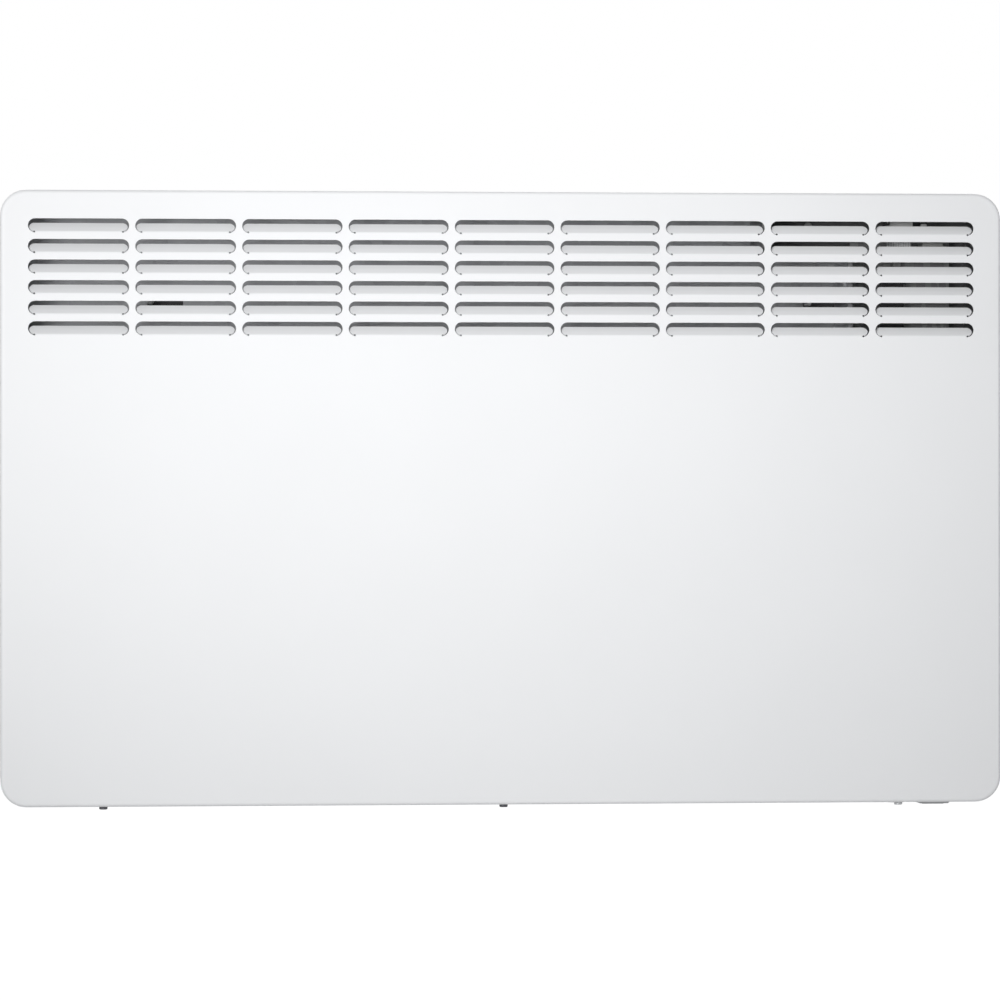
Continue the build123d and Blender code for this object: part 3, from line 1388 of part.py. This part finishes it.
lead_routes = {
    "live_lead": (lead_radius, block_lead_bend, [
        (block_way_xs[0], block_front_y, block_way_z),
        (block_way_xs[0], blade_rear_y, block_way_z),
        (blade_left_x, blade_rear_y, block_way_z),
        (blade_left_x, blade_rear_y, blade_top_z),
    ]),
    "neutral_lead": (lead_radius, tight_bend, [
        (block_way_xs[1], block_front_y, block_way_z),
        (block_way_xs[1], block_front_y - block_lead_out, block_way_z),
        (blade_right_x, blade_rear_y, block_way_z - block_lead_drop),
        (blade_right_x, blade_rear_y, blade_top_z),
    ]),
    "earth_lead": (lead_radius, tight_bend, [
        (block_way_xs[2], block_front_y, block_way_z),
        (block_way_xs[2], earth_barrel_y, block_way_z),
        (earth_x, earth_barrel_y, block_way_z - block_lead_drop),
        (earth_x, earth_barrel_y, panel_floor_z + earth_tag_sheet + earth_barrel_height),
    ]),
    "switched_live_lead": (lead_radius, long_bend, [
        (blade_left_x, blade_front_y, blade_top_z),
        (blade_left_x, blade_front_y, riser_z - riser_half),
        (way_live_x, way_y, riser_z + riser_half),
        (way_live_x, way_y, way_base_z),
    ]),
    "switched_neutral_lead": (lead_radius, long_bend, [
        (blade_right_x, blade_front_y, blade_top_z),
        (blade_right_x, blade_front_y, riser_z - riser_half),
        (way_neutral_x, way_y, riser_z + riser_half),
        (way_neutral_x, way_y, way_base_z),
    ]),
    "cutout_lead": (lead_radius, cutout_bend, [
        (way_cutout_x, way_y, way_base_z),
        (way_cutout_x, way_y, cutout_z + cutout_lead_rise),
        (way_cutout_x - cutout_lead_side, cutout_ys[0], cutout_z),
        (cutout_blade_x, cutout_ys[0], cutout_z),
    ]),
    "element_lead_right": (lead_radius, cutout_bend, [
        (cutout_blade_x, cutout_ys[1], cutout_z),
        (right_loop_x, cutout_ys[1], cutout_z),
        (right_loop_x, element_y, element_z),
        (right_pin_x, element_y, element_z),
    ]),
    "element_lead_left": (lead_radius, long_bend, [
        (left_pin_x, element_y, element_z - terminal_radius),
        (left_pin_x, element_y, element_z - left_lead_drop),
        (left_pin_x, long_lead_y, long_lead_z),
        (long_lead_x, long_lead_y, long_lead_z),
        (long_lead_x, long_lead_y, riser_z - riser_start_drop),
        (way_element_x, way_y, riser_z + riser_end_rise),
        (way_element_x, way_y, way_base_z),
    ]),
    "sensor_lead": (sensor_lead_radius, long_bend, [
        (sensor_x, sensor_y, panel_floor_z + sensor_length),
        (sensor_x, sensor_y, riser_z - riser_start_drop),
        (way_sensor_x, way_y, riser_z + riser_end_rise),
        (way_sensor_x, way_y, way_base_z),
    ]),
}
leads = {}
for lead_name, (radius, bend, points) in lead_routes.items():
    route = FilletPolyline(*points, radius=bend)
    with BuildPart() as lead:
        with BuildSketch(Plane(origin=route @ 0, z_dir=route % 0)):
            Circle(radius)
        sweep(path=route)
    leads[lead_name] = lead

with BuildPart() as lead_clips:
    for inlet_gap in clip_inlet_gaps:
        clip_x = inlet_middle_x + inlet_gap * inlet_pitch_x
        with BuildSketch(Plane.YZ.offset(clip_x - clip_length / 2)):
            clip_height = long_lead_floor_gap + clip_wall
            with Locations((long_lead_y, panel_floor_z + clip_height / 2)):
                Rectangle(2 * (lead_radius + clip_wall), clip_height)
            with Locations((long_lead_y, long_lead_z)):
                Circle(lead_radius + running_gap, mode=Mode.SUBTRACT)
        extrude(amount=clip_length)

parts = {
    "front_casing": front_casing,
    "rear_panel": rear_panel,
    "case_screws": case_screws,
    "case_screw_right": case_screw_right,
    "wall_bracket": wall_bracket,
    "latch_pins": latch_pins,
    "latch_lever_left": latch_lever_left,
    "latch_lever_right": latch_lever_right,
    "switch_body": switch_body,
    "switch_rocker": switch_rocker,
    "switch_terminals": switch_terminals,
    "cable_gland": cable_gland,
    "control_housing": control_housing,
    "partition_plate": partition_plate,
    "housing_screws": housing_screws,
    "side_screen": side_screen,
    "control_fascia": control_fascia,
    "lcd_window": lcd_window,
    "lcd_module": lcd_module,
    "display_board": display_board,
    "tact_switches": tact_switches,
    "board_connectors": board_connectors,
    "ribbon_lead": ribbon_lead,
    "power_board": power_board,
    "board_terminals": board_terminals,
    "board_relays": board_relays,
    "board_transformer": board_transformer,
    "board_capacitors": board_capacitors,
    "filter_capacitor": filter_capacitor,
    "board_screws": board_screws,
    "terminal_block": terminal_block,
    "earth_tag": earth_tag,
    "earth_screw": earth_screw,
    "element_fins": element_fins,
    "element_sheath": element_sheath,
    "element_pins": element_pins,
    "element_bushings": element_bushings,
    "element_plate_left": element_plate_left,
    "element_plate_right": element_plate_right,
    "heat_shield": heat_shield,
    "rivets": rivets,
    "safety_cutout": safety_cutout,
    "sensor_clip": sensor_clip,
    "room_sensor": room_sensor,
    "lead_clips": lead_clips,
    **buttons,
    **leads,
}
for name, piece in parts.items():
    piece.part.label = name
    export_step(piece.part, f"parts/{name}.step")
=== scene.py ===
"""Studio picture of the wall panel convector heater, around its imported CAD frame.

X runs right as seen from the room, Y into the wall, Z up. All sizes are metres.
"""

import json
import math

import bmesh
import bpy
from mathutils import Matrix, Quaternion, Vector


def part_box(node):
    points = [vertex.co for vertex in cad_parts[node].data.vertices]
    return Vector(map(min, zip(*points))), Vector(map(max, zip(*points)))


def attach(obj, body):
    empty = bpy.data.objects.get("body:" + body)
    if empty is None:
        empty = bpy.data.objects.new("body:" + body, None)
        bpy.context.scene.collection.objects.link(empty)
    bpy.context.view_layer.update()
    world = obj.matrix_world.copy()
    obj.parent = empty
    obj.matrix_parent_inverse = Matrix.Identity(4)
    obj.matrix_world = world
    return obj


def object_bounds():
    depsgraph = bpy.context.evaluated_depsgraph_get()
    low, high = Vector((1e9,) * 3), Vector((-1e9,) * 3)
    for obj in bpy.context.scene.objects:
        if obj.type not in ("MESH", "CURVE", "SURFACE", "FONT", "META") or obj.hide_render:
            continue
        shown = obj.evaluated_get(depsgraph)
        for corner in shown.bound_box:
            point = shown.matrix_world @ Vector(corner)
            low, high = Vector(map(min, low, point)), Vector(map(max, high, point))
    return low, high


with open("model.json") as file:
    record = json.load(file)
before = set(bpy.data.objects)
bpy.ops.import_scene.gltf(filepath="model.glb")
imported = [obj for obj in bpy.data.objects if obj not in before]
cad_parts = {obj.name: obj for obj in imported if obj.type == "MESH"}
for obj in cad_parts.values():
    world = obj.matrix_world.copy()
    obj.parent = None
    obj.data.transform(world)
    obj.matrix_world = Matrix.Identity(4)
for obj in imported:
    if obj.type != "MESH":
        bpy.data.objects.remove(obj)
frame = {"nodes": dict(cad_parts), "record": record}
cad_low, cad_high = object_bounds()
nodes = frame["nodes"]

MM = 0.001

casing_low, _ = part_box("front_casing")
front_y = casing_low.y


# ---------------------------------------------------------------- finishes
class Shader:
    """A new material's node tree, with short calls for the nodes that the finishes share."""

    def __init__(self, name):
        self.material = bpy.data.materials.new(name)
        self.material.use_nodes = True
        self.tree = self.material.node_tree
        self.tree.nodes.clear()
        self.output = self.tree.nodes.new("ShaderNodeOutputMaterial")
        self.bsdf = self.tree.nodes.new("ShaderNodeBsdfPrincipled")
        self.link(self.bsdf.outputs["BSDF"], self.output.inputs["Surface"])
        self.coords = self.tree.nodes.new("ShaderNodeTexCoord").outputs["Object"]

    def link(self, source, target):
        self.tree.links.new(source, target)

    def stretched(self, factors):
        """Object coordinates, scaled by the three factors."""
        mapping = self.tree.nodes.new("ShaderNodeMapping")
        mapping.inputs["Scale"].default_value = factors
        self.link(self.coords, mapping.inputs["Vector"])
        return mapping.outputs["Vector"]

    def noise(self, scale, detail=3.0, vector=None):
        node = self.tree.nodes.new("ShaderNodeTexNoise")
        node.inputs["Scale"].default_value = scale
        node.inputs["Detail"].default_value = detail
        self.link(vector or self.coords, node.inputs["Vector"])
        return node.outputs["Fac"]

    def cells(self, scale, vector):
        """A random grey for each Voronoi cell."""
        node = self.tree.nodes.new("ShaderNodeTexVoronoi")
        node.inputs["Scale"].default_value = scale
        self.link(vector, node.inputs["Vector"])
        return node.outputs["Color"]

    def wave(self, scale, direction="X", distortion=0.0):
        node = self.tree.nodes.new("ShaderNodeTexWave")
        node.bands_direction = direction
        node.inputs["Scale"].default_value = scale
        node.inputs["Distortion"].default_value = distortion
        self.link(self.coords, node.inputs["Vector"])
        return node.outputs["Fac"]

    def spread(self, value, low, high):
        """The value, spread between low and high."""
        node = self.tree.nodes.new("ShaderNodeMapRange")
        node.inputs["To Min"].default_value = low
        node.inputs["To Max"].default_value = high
        self.link(value, node.inputs["Value"])
        return node.outputs["Result"]

    def tint(self, value, dark, light, start=0.0, end=1.0):
        """A colour between dark and light, by the value."""
        ramp = self.tree.nodes.new("ShaderNodeValToRGB")
        ramp.color_ramp.elements[0].position = start
        ramp.color_ramp.elements[1].position = end
        ramp.color_ramp.elements[0].color = (*dark, 1.0)
        ramp.color_ramp.elements[1].color = (*light, 1.0)
        self.link(value, ramp.inputs["Fac"])
        return ramp.outputs["Color"]

    def bump(self, height, depth, strength=1.0):
        node = self.tree.nodes.new("ShaderNodeBump")
        node.inputs["Distance"].default_value = depth
        node.inputs["Strength"].default_value = strength
        self.link(height, node.inputs["Height"])
        self.link(node.outputs["Normal"], self.bsdf.inputs["Normal"])

    def set(self, **values):
        for name, value in values.items():
            self.bsdf.inputs[name.replace("_", " ")].default_value = value


def shaded(colour, factor):
    return tuple(channel * factor for channel in colour)


def powder_coat(name, colour, roughness):
    """Baked powder coat: a fine orange peel over a very slight unevenness of tone."""
    s = Shader(name)
    tone = s.tint(s.noise(9.0, 4.0), shaded(colour, 0.985), colour, 0.3, 0.7)
    gloss = s.spread(s.noise(700.0, 2.0), roughness - 0.05, roughness + 0.05)
    s.link(tone, s.bsdf.inputs["Base Color"])
    s.link(gloss, s.bsdf.inputs["Roughness"])
    s.bump(s.noise(1100.0, 3.0), 0.00004, 0.5)
    return s.material


def galvanised(name, colour, roughness):
    """Zinc on sheet steel: spangle cells, each with its own grey and gloss, and faint rolling lines."""
    s = Shader(name)
    spangle = s.cells(110.0, s.stretched((1.0, 1.0, 0.8)))
    s.link(s.tint(spangle, shaded(colour, 0.82), shaded(colour, 1.08)), s.bsdf.inputs["Base Color"])
    s.link(s.spread(spangle, roughness - 0.08, roughness + 0.1), s.bsdf.inputs["Roughness"])
    s.bump(s.noise(60.0, 3.0, s.stretched((0.2, 1.0, 6.0))), 0.00005, 0.3)
    s.set(Metallic=0.75)
    return s.material


def plastic(name, colour, roughness=0.5, grain=2200.0):
    """Moulded plastic with a spark-eroded grain and slight flow marks."""
    s = Shader(name)
    tone = s.tint(s.noise(35.0, 3.0), shaded(colour, 0.93), shaded(colour, 1.04))
    gloss = s.spread(s.noise(grain * 0.4, 2.0), roughness - 0.06, roughness + 0.06)
    s.link(tone, s.bsdf.inputs["Base Color"])
    s.link(gloss, s.bsdf.inputs["Roughness"])
    s.bump(s.noise(grain, 2.0), 0.00003, 0.4)
    return s.material


def drawn_metal(name, colour, roughness, lines=(0.05, 8.0, 8.0)):
    """Extruded, drawn or turned metal with fine lines, stretched by the three factors."""
    s = Shader(name)
    streaks = s.noise(220.0, 4.0, s.stretched(lines))
    s.link(s.tint(streaks, shaded(colour, 0.8), shaded(colour, 1.1)), s.bsdf.inputs["Base Color"])
    s.link(s.spread(streaks, roughness - 0.08, roughness + 0.1), s.bsdf.inputs["Roughness"])
    s.bump(streaks, 0.00003, 0.4)
    s.set(Metallic=0.9)
    return s.material


def circuit_board(name, colour):
    """Solder mask over copper: the tracks show as paler patches."""
    s = Shader(name)
    tracks = s.cells(260.0, s.stretched((1.0, 1.0, 0.25)))
    s.link(s.tint(tracks, colour, shaded(colour, 1.4), 0.55, 0.6), s.bsdf.inputs["Base Color"])
    s.link(s.spread(tracks, 0.28, 0.4), s.bsdf.inputs["Roughness"])
    s.bump(tracks, 0.00004, 0.4)
    return s.material


def ribbon_cable(name, colour):
    """Flat cable: a row of round wires at 1.27 mm, joined side by side."""
    wire_scale = 247.0
    s = Shader(name)
    wires_and_groove_shade = s.wave(wire_scale)
    # the colour darkens in the grooves between the wires and brightens on their crowns: painted shade over
    # the bump of the same wave
    s.link(s.tint(wires_and_groove_shade, shaded(colour, 0.5), shaded(colour, 1.05)), s.bsdf.inputs["Base Color"])
    s.link(s.spread(s.noise(900.0), 0.45, 0.55), s.bsdf.inputs["Roughness"])
    s.bump(wires_and_groove_shade, 0.0003, 0.6)
    return s.material


def braid(name, colour, scale=1400.0, roughness=0.7):
    """A woven glass sleeve or a drawn silicone skin on a lead."""
    s = Shader(name)
    weave = s.wave(scale, "DIAGONAL", 1.5)
    s.link(s.tint(weave, shaded(colour, 0.7), shaded(colour, 1.1)), s.bsdf.inputs["Base Color"])
    s.link(s.spread(weave, roughness - 0.1, roughness), s.bsdf.inputs["Roughness"])
    s.bump(weave, 0.0001, 0.5)
    return s.material


def striped_lead(name, first, second):
    """An earth lead: two colours that wind round it."""
    s = Shader(name)
    s.link(s.tint(s.wave(160.0, "DIAGONAL"), first, second, 0.48, 0.52), s.bsdf.inputs["Base Color"])
    s.link(s.spread(s.noise(900.0), 0.4, 0.5), s.bsdf.inputs["Roughness"])
    return s.material


def clear_window(name, colour):
    """Clear moulded window with faint fine wear."""
    s = Shader(name)
    s.link(s.spread(s.noise(500.0, 4.0), 0.02, 0.08), s.bsdf.inputs["Roughness"])
    s.link(s.tint(s.noise(20.0), shaded(colour, 0.97), colour), s.bsdf.inputs["Base Color"])
    s.set(Transmission_Weight=0.92, IOR=1.49)
    return s.material


def ceramic(name, colour):
    """Unglazed steatite: matt, finely pitted."""
    s = Shader(name)
    s.link(s.tint(s.noise(300.0, 4.0), shaded(colour, 0.88), colour), s.bsdf.inputs["Base Color"])
    s.link(s.spread(s.noise(800.0), 0.6, 0.75), s.bsdf.inputs["Roughness"])
    s.bump(s.noise(1500.0, 3.0), 0.00006, 0.6)
    return s.material


# the finish of each material slot in the record
FINISHES = {
    "casing_powder_coat": powder_coat("casing_white", (0.87, 0.875, 0.885), 0.42),
    # the bracket is painted black so that the hook openings onto it read as deep shade: its black stands in
    # for the shadow behind the panel
    "bracket_black": powder_coat("bracket_black", (0.03, 0.03, 0.032), 0.45),
    "galvanised_steel": galvanised("galvanised_sheet", (0.40, 0.405, 0.42), 0.45),
    "screw_blackened": drawn_metal("blackened_steel", (0.10, 0.10, 0.11), 0.45, (6.0, 6.0, 6.0)),
    "screw_zinc": drawn_metal("zinc_plated_steel", (0.45, 0.455, 0.465), 0.38, (6.0, 6.0, 6.0)),
    "pin_steel": drawn_metal("steel_wire", (0.58, 0.59, 0.60), 0.32),
    "latch_nylon": plastic("latch_nylon", (0.86, 0.86, 0.85), 0.45),
    "switch_grey": plastic("switch_grey", (0.58, 0.585, 0.595), 0.42),
    "rocker_grey": plastic("rocker_dark", (0.035, 0.035, 0.04), 0.3),
    "blade_brass": drawn_metal("tinned_brass", (0.72, 0.62, 0.38), 0.35),
    "gland_grey": plastic("gland_grey", (0.62, 0.63, 0.64), 0.5),
    "housing_black": plastic("housing_black", (0.13, 0.13, 0.134), 0.5),
    "fascia_white": plastic("fascia_white", (0.80, 0.81, 0.81), 0.4),
    "window_clear": clear_window("window_clear", (0.85, 0.9, 0.92)),
    "lcd_grey": plastic("lcd_grey", (0.32, 0.38, 0.33), 0.3, 3000.0),
    "board_dark": circuit_board("board_dark", (0.25, 0.252, 0.255)),
    "tact_black": plastic("tact_black", (0.02, 0.02, 0.02), 0.4),
    "connector_white": plastic("connector_white", (0.52, 0.52, 0.515), 0.45),
    "ribbon_grey": ribbon_cable("ribbon_grey", (0.68, 0.69, 0.70)),
    "relay_black": plastic("relay_black", (0.02, 0.02, 0.022), 0.3),
    "transformer_core": drawn_metal("transformer_core", (0.12, 0.10, 0.08), 0.5, (1.0, 6.0, 0.2)),
    "capacitor_sleeve": plastic("capacitor_sleeve", (0.02, 0.025, 0.09), 0.3),
    "filter_grey": plastic("filter_grey", (0.42, 0.42, 0.41), 0.5),
    "terminal_ivory": plastic("terminal_ivory", (0.68, 0.66, 0.60), 0.5),
    "element_aluminium": drawn_metal("extruded_aluminium", (0.68, 0.69, 0.70), 0.38),
    "sheath_steel": drawn_metal("tinted_stainless", (0.44, 0.40, 0.34), 0.35),
    "bushing_ceramic": ceramic("steatite", (0.82, 0.79, 0.72)),
    "rivet_aluminium": drawn_metal("rivet_aluminium", (0.66, 0.67, 0.68), 0.4, (5.0, 5.0, 5.0)),
    "cutout_phenolic": plastic("cutout_phenolic", (0.05, 0.03, 0.02), 0.4),
    "clip_nylon": plastic("clip_nylon", (0.70, 0.68, 0.63), 0.45),
    "sensor_epoxy": plastic("sensor_epoxy", (0.02, 0.02, 0.025), 0.25),
    "lead_brown": braid("lead_brown", (0.13, 0.05, 0.02), 900.0, 0.5),
    "lead_blue": braid("lead_blue", (0.02, 0.08, 0.30), 900.0, 0.5),
    "lead_green_yellow": striped_lead("lead_green_yellow", (0.05, 0.25, 0.04), (0.75, 0.68, 0.05)),
    "lead_red": braid("lead_red", (0.36, 0.03, 0.02)),
    "lead_white": braid("lead_white", (0.62, 0.60, 0.56)),
    "lead_grey": braid("lead_grey", (0.28, 0.29, 0.30), 900.0, 0.5),
    "button_grey": plastic("button_grey", (0.46, 0.47, 0.48), 0.4),
}


def dress_cad():
    """Gives each CAD node the finish of its slot."""
    for entry in frame["record"]["subparts"]:
        node = nodes[entry["node"]]
        node.data.materials.clear()
        node.data.materials.append(FINISHES[entry["material_slot"]])


# ---------------------------------------------------------------- small moulded details
def moulded(name, low, high, rounding, finish, body):
    """A block between two corners with all its edges rounded, which rides on a body."""
    mesh = bpy.data.meshes.new(name)
    form = bmesh.new()
    bmesh.ops.create_cube(form, size=1.0)
    middle = (Vector(low) + Vector(high)) / 2
    size = Vector(high) - Vector(low)
    for vert in form.verts:
        vert.co = middle + vert.co * size
    bmesh.ops.bevel(form, geom=form.edges[:], offset=rounding, segments=3, profile=0.5, affect="EDGES")
    for face in form.faces:
        face.smooth = True
    form.to_mesh(mesh)
    form.free()
    piece = bpy.data.objects.new(name, mesh)
    bpy.context.scene.collection.objects.link(piece)
    mesh.materials.append(FINISHES[finish])
    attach(piece, body)


def make_hook_caps():
    """White nylon caps on the bracket's two hooks, which keep the panel from rattling there; their white
    also stands in for the hooks' brightly lit faces, a painted highlight.
    """
    hook_inset = 2.9 * MM
    hook_pitch = 492.4 * MM
    hook_lip = 5.0 * MM
    hook_height = 12.0 * MM
    hook_base_drop = 15.0 * MM
    wall = 0.4 * MM
    width = 4.4 * MM
    nose = 8.0 * MM
    rounding = 1.5 * MM
    bracket_low, bracket_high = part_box("wall_bracket")
    low_y = bracket_low.y - nose
    high_y = bracket_low.y + hook_lip - wall
    low_z = bracket_high.z - hook_base_drop - 2 * wall
    high_z = low_z + hook_height + 2 * wall
    left_x = bracket_low.x + hook_inset - wall
    for name, low_x in (("hook_cap_left", left_x), ("hook_cap_right", left_x + hook_pitch)):
        low = (low_x, low_y, low_z)
        high = (low_x + width, high_y, high_z)
        moulded(name, low, high, rounding, "latch_nylon", "bracket")


def make_board_parts():
    """What stands on the two boards behind the last louvre column, beside the CAD's own components.

    Each row has a piece's name, the CAD corner that it is placed from, its own low and high corners
    from there and its rounding, in millimetres, and its finish.
    """
    board_low, board_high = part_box("power_board")
    header_low, header_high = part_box("board_connectors")
    display_low, display_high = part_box("display_board")
    board = Vector((board_low.x, board_low.y, board_high.z))
    header = Vector((header_low.x, header_low.y, header_high.z))
    display = Vector((display_high.x, display_low.y, display_low.z))
    pieces = (
        ("film_capacitor", board, (31.5, -5.0, -18.5), (37.5, 0.0, -14.5), 0.5, "connector_white"),
        ("trimmer_body", display, (-30.0, 17.0, -4.0), (-25.8, 21.2, 0.0), 0.3, "tact_black"),
        ("trimmer_rotor", display, (-30.0, 17.0, -6.0), (-25.8, 21.2, -3.9), 0.5, "connector_white"),
        ("header_latch", header, (-1.4, -1.5, -5.4), (2.4, 4.5, -0.2), 0.4, "tact_black"),
        ("header_pin", header, (0.2, -2.2, -3.6), (1.2, -1.2, -2.2), 0.2, "screw_zinc"),
    )
    for name, corner, low, high, rounding, finish in pieces:
        low_corner = corner + Vector(low) * MM
        high_corner = corner + Vector(high) * MM
        moulded(name, low_corner, high_corner, rounding * MM, finish, "heater")


# ---------------------------------------------------------------- camera
def aim_camera():
    """The photograph's camera: a long lens far off to the left, level with the middle of the panel."""
    distance = 4.022
    to_the_left = math.radians(5.56)
    aim_left = 0.0036
    aim_below = 0.0013
    roll = math.radians(-0.04)
    focal_length = 197.2
    sensor_width = 36.0
    data = bpy.data.cameras.new("camera")
    data.sensor_width = sensor_width
    data.lens = focal_length
    camera = bpy.data.objects.new("camera", data)
    bpy.context.scene.collection.objects.link(camera)
    front_middle = Vector((0.0, front_y, 0.0))
    direction = Vector((-math.sin(to_the_left), -math.cos(to_the_left), 0.0))
    camera.location = front_middle + distance * direction
    aim = front_middle - Vector((aim_left, 0.0, aim_below))
    facing = (aim - camera.location).to_track_quat("-Z", "Y")
    camera.rotation_euler = (facing @ Quaternion((0.0, 0.0, 1.0), roll)).to_euler()
    bpy.context.scene.camera = camera


# ---------------------------------------------------------------- lights, world and floor
def light_studio():
    """One soft lamp on the left, nearly level with the louvres, its beam narrowed to the panel."""
    place = Vector((-0.88, -2.44, 0.27))
    target = Vector((0.014, front_y, 0.166))
    width, height = 0.6, 0.5
    power = 2.99
    beam = math.radians(44.2)
    data = bpy.data.lights.new("key_left", "AREA")
    data.shape = "RECTANGLE"
    data.size, data.size_y = width, height
    data.spread = beam
    data.energy = power
    lamp = bpy.data.objects.new("key_left", data)
    lamp.location = place
    lamp.rotation_euler = (target - place).to_track_quat("-Z", "Y").to_euler()
    bpy.context.scene.collection.objects.link(lamp)


def background_share(tree):
    """1 where the background is seen, straight, in a mirror or through glass, and 0 where it only lights."""
    path = tree.nodes.new("ShaderNodeLightPath")
    total = path.outputs["Is Camera Ray"]
    for name in ("Is Glossy Ray", "Is Transmission Ray"):
        join = tree.nodes.new("ShaderNodeMath")
        join.operation = "MAXIMUM"
        tree.links.new(total, join.inputs[0])
        tree.links.new(path.outputs[name], join.inputs[1])
        total = join.outputs["Value"]
    return total


def make_world():
    """Even soft light that weakens upwards, and plain white wherever the background is seen."""
    ambient = 0.45
    fall = 0.35
    tint = (0.97, 0.985, 1.0, 1.0)
    white = (1.0, 1.0, 1.0, 1.0)
    world = bpy.data.worlds.new("studio")
    world.use_nodes = True
    tree = world.node_tree
    tree.nodes.clear()
    output = tree.nodes.new("ShaderNodeOutputWorld")
    mix = tree.nodes.new("ShaderNodeMixShader")
    lighting = tree.nodes.new("ShaderNodeBackground")
    lighting.inputs["Color"].default_value = tint
    direction = tree.nodes.new("ShaderNodeTexCoord")
    height = tree.nodes.new("ShaderNodeSeparateXYZ")
    level = tree.nodes.new("ShaderNodeMapRange")
    level.inputs["From Min"].default_value = -1.0
    level.inputs["From Max"].default_value = 1.0
    level.inputs["To Min"].default_value = ambient * (1.0 + fall)
    level.inputs["To Max"].default_value = ambient * (1.0 - fall)
    tree.links.new(direction.outputs["Generated"], height.inputs["Vector"])
    tree.links.new(height.outputs["Z"], level.inputs["Value"])
    tree.links.new(level.outputs["Result"], lighting.inputs["Strength"])
    seen = tree.nodes.new("ShaderNodeBackground")
    seen.inputs["Color"].default_value = white
    seen.inputs["Strength"].default_value = 1.0
    tree.links.new(background_share(tree), mix.inputs["Fac"])
    tree.links.new(lighting.outputs["Background"], mix.inputs[1])
    tree.links.new(seen.outputs["Background"], mix.inputs[2])
    tree.links.new(mix.outputs["Shader"], output.inputs["Surface"])
    bpy.context.scene.world = world


def make_floor():
    """A pale floor under the heater, which keeps shadows and is clear from below.

    Its own glow makes it white where nothing shades it.
    """
    half = 7.0
    drop = 0.30
    glow = 0.72
    mesh = bpy.data.meshes.new("studio_floor")
    corners = [(-half, -half, 0.0), (half, -half, 0.0), (half, half, 0.0), (-half, half, 0.0)]
    mesh.from_pydata(corners, [], [(0, 1, 2, 3)])
    floor = bpy.data.objects.new("studio_floor", mesh)
    floor.location.z = cad_low.z - drop
    bpy.context.scene.collection.objects.link(floor)
    s = Shader("floor_white")
    s.link(s.tint(s.noise(3.0), (0.80, 0.80, 0.80), (0.82, 0.82, 0.82)), s.bsdf.inputs["Base Color"])
    s.set(Roughness=0.9)
    emission = s.tree.nodes.new("ShaderNodeEmission")
    emission.inputs["Color"].default_value = (1.0, 1.0, 1.0, 1.0)
    gain = s.tree.nodes.new("ShaderNodeMath")
    gain.operation = "MULTIPLY"
    gain.inputs[1].default_value = glow
    s.link(background_share(s.tree), gain.inputs[0])
    s.link(gain.outputs["Value"], emission.inputs["Strength"])
    both = s.tree.nodes.new("ShaderNodeAddShader")
    s.link(s.bsdf.outputs["BSDF"], both.inputs[0])
    s.link(emission.outputs["Emission"], both.inputs[1])
    underside = s.tree.nodes.new("ShaderNodeNewGeometry")
    clear = s.tree.nodes.new("ShaderNodeBsdfTransparent")
    one_sided = s.tree.nodes.new("ShaderNodeMixShader")
    s.link(underside.outputs["Backfacing"], one_sided.inputs["Fac"])
    s.link(both.outputs["Shader"], one_sided.inputs[1])
    s.link(clear.outputs["BSDF"], one_sided.inputs[2])
    s.link(one_sided.outputs["Shader"], s.output.inputs["Surface"])
    mesh.materials.append(s.material)


bpy.context.scene.view_settings.view_transform = "Standard"
dress_cad()
make_hook_caps()
make_board_parts()
aim_camera()
light_studio()
make_world()
make_floor()
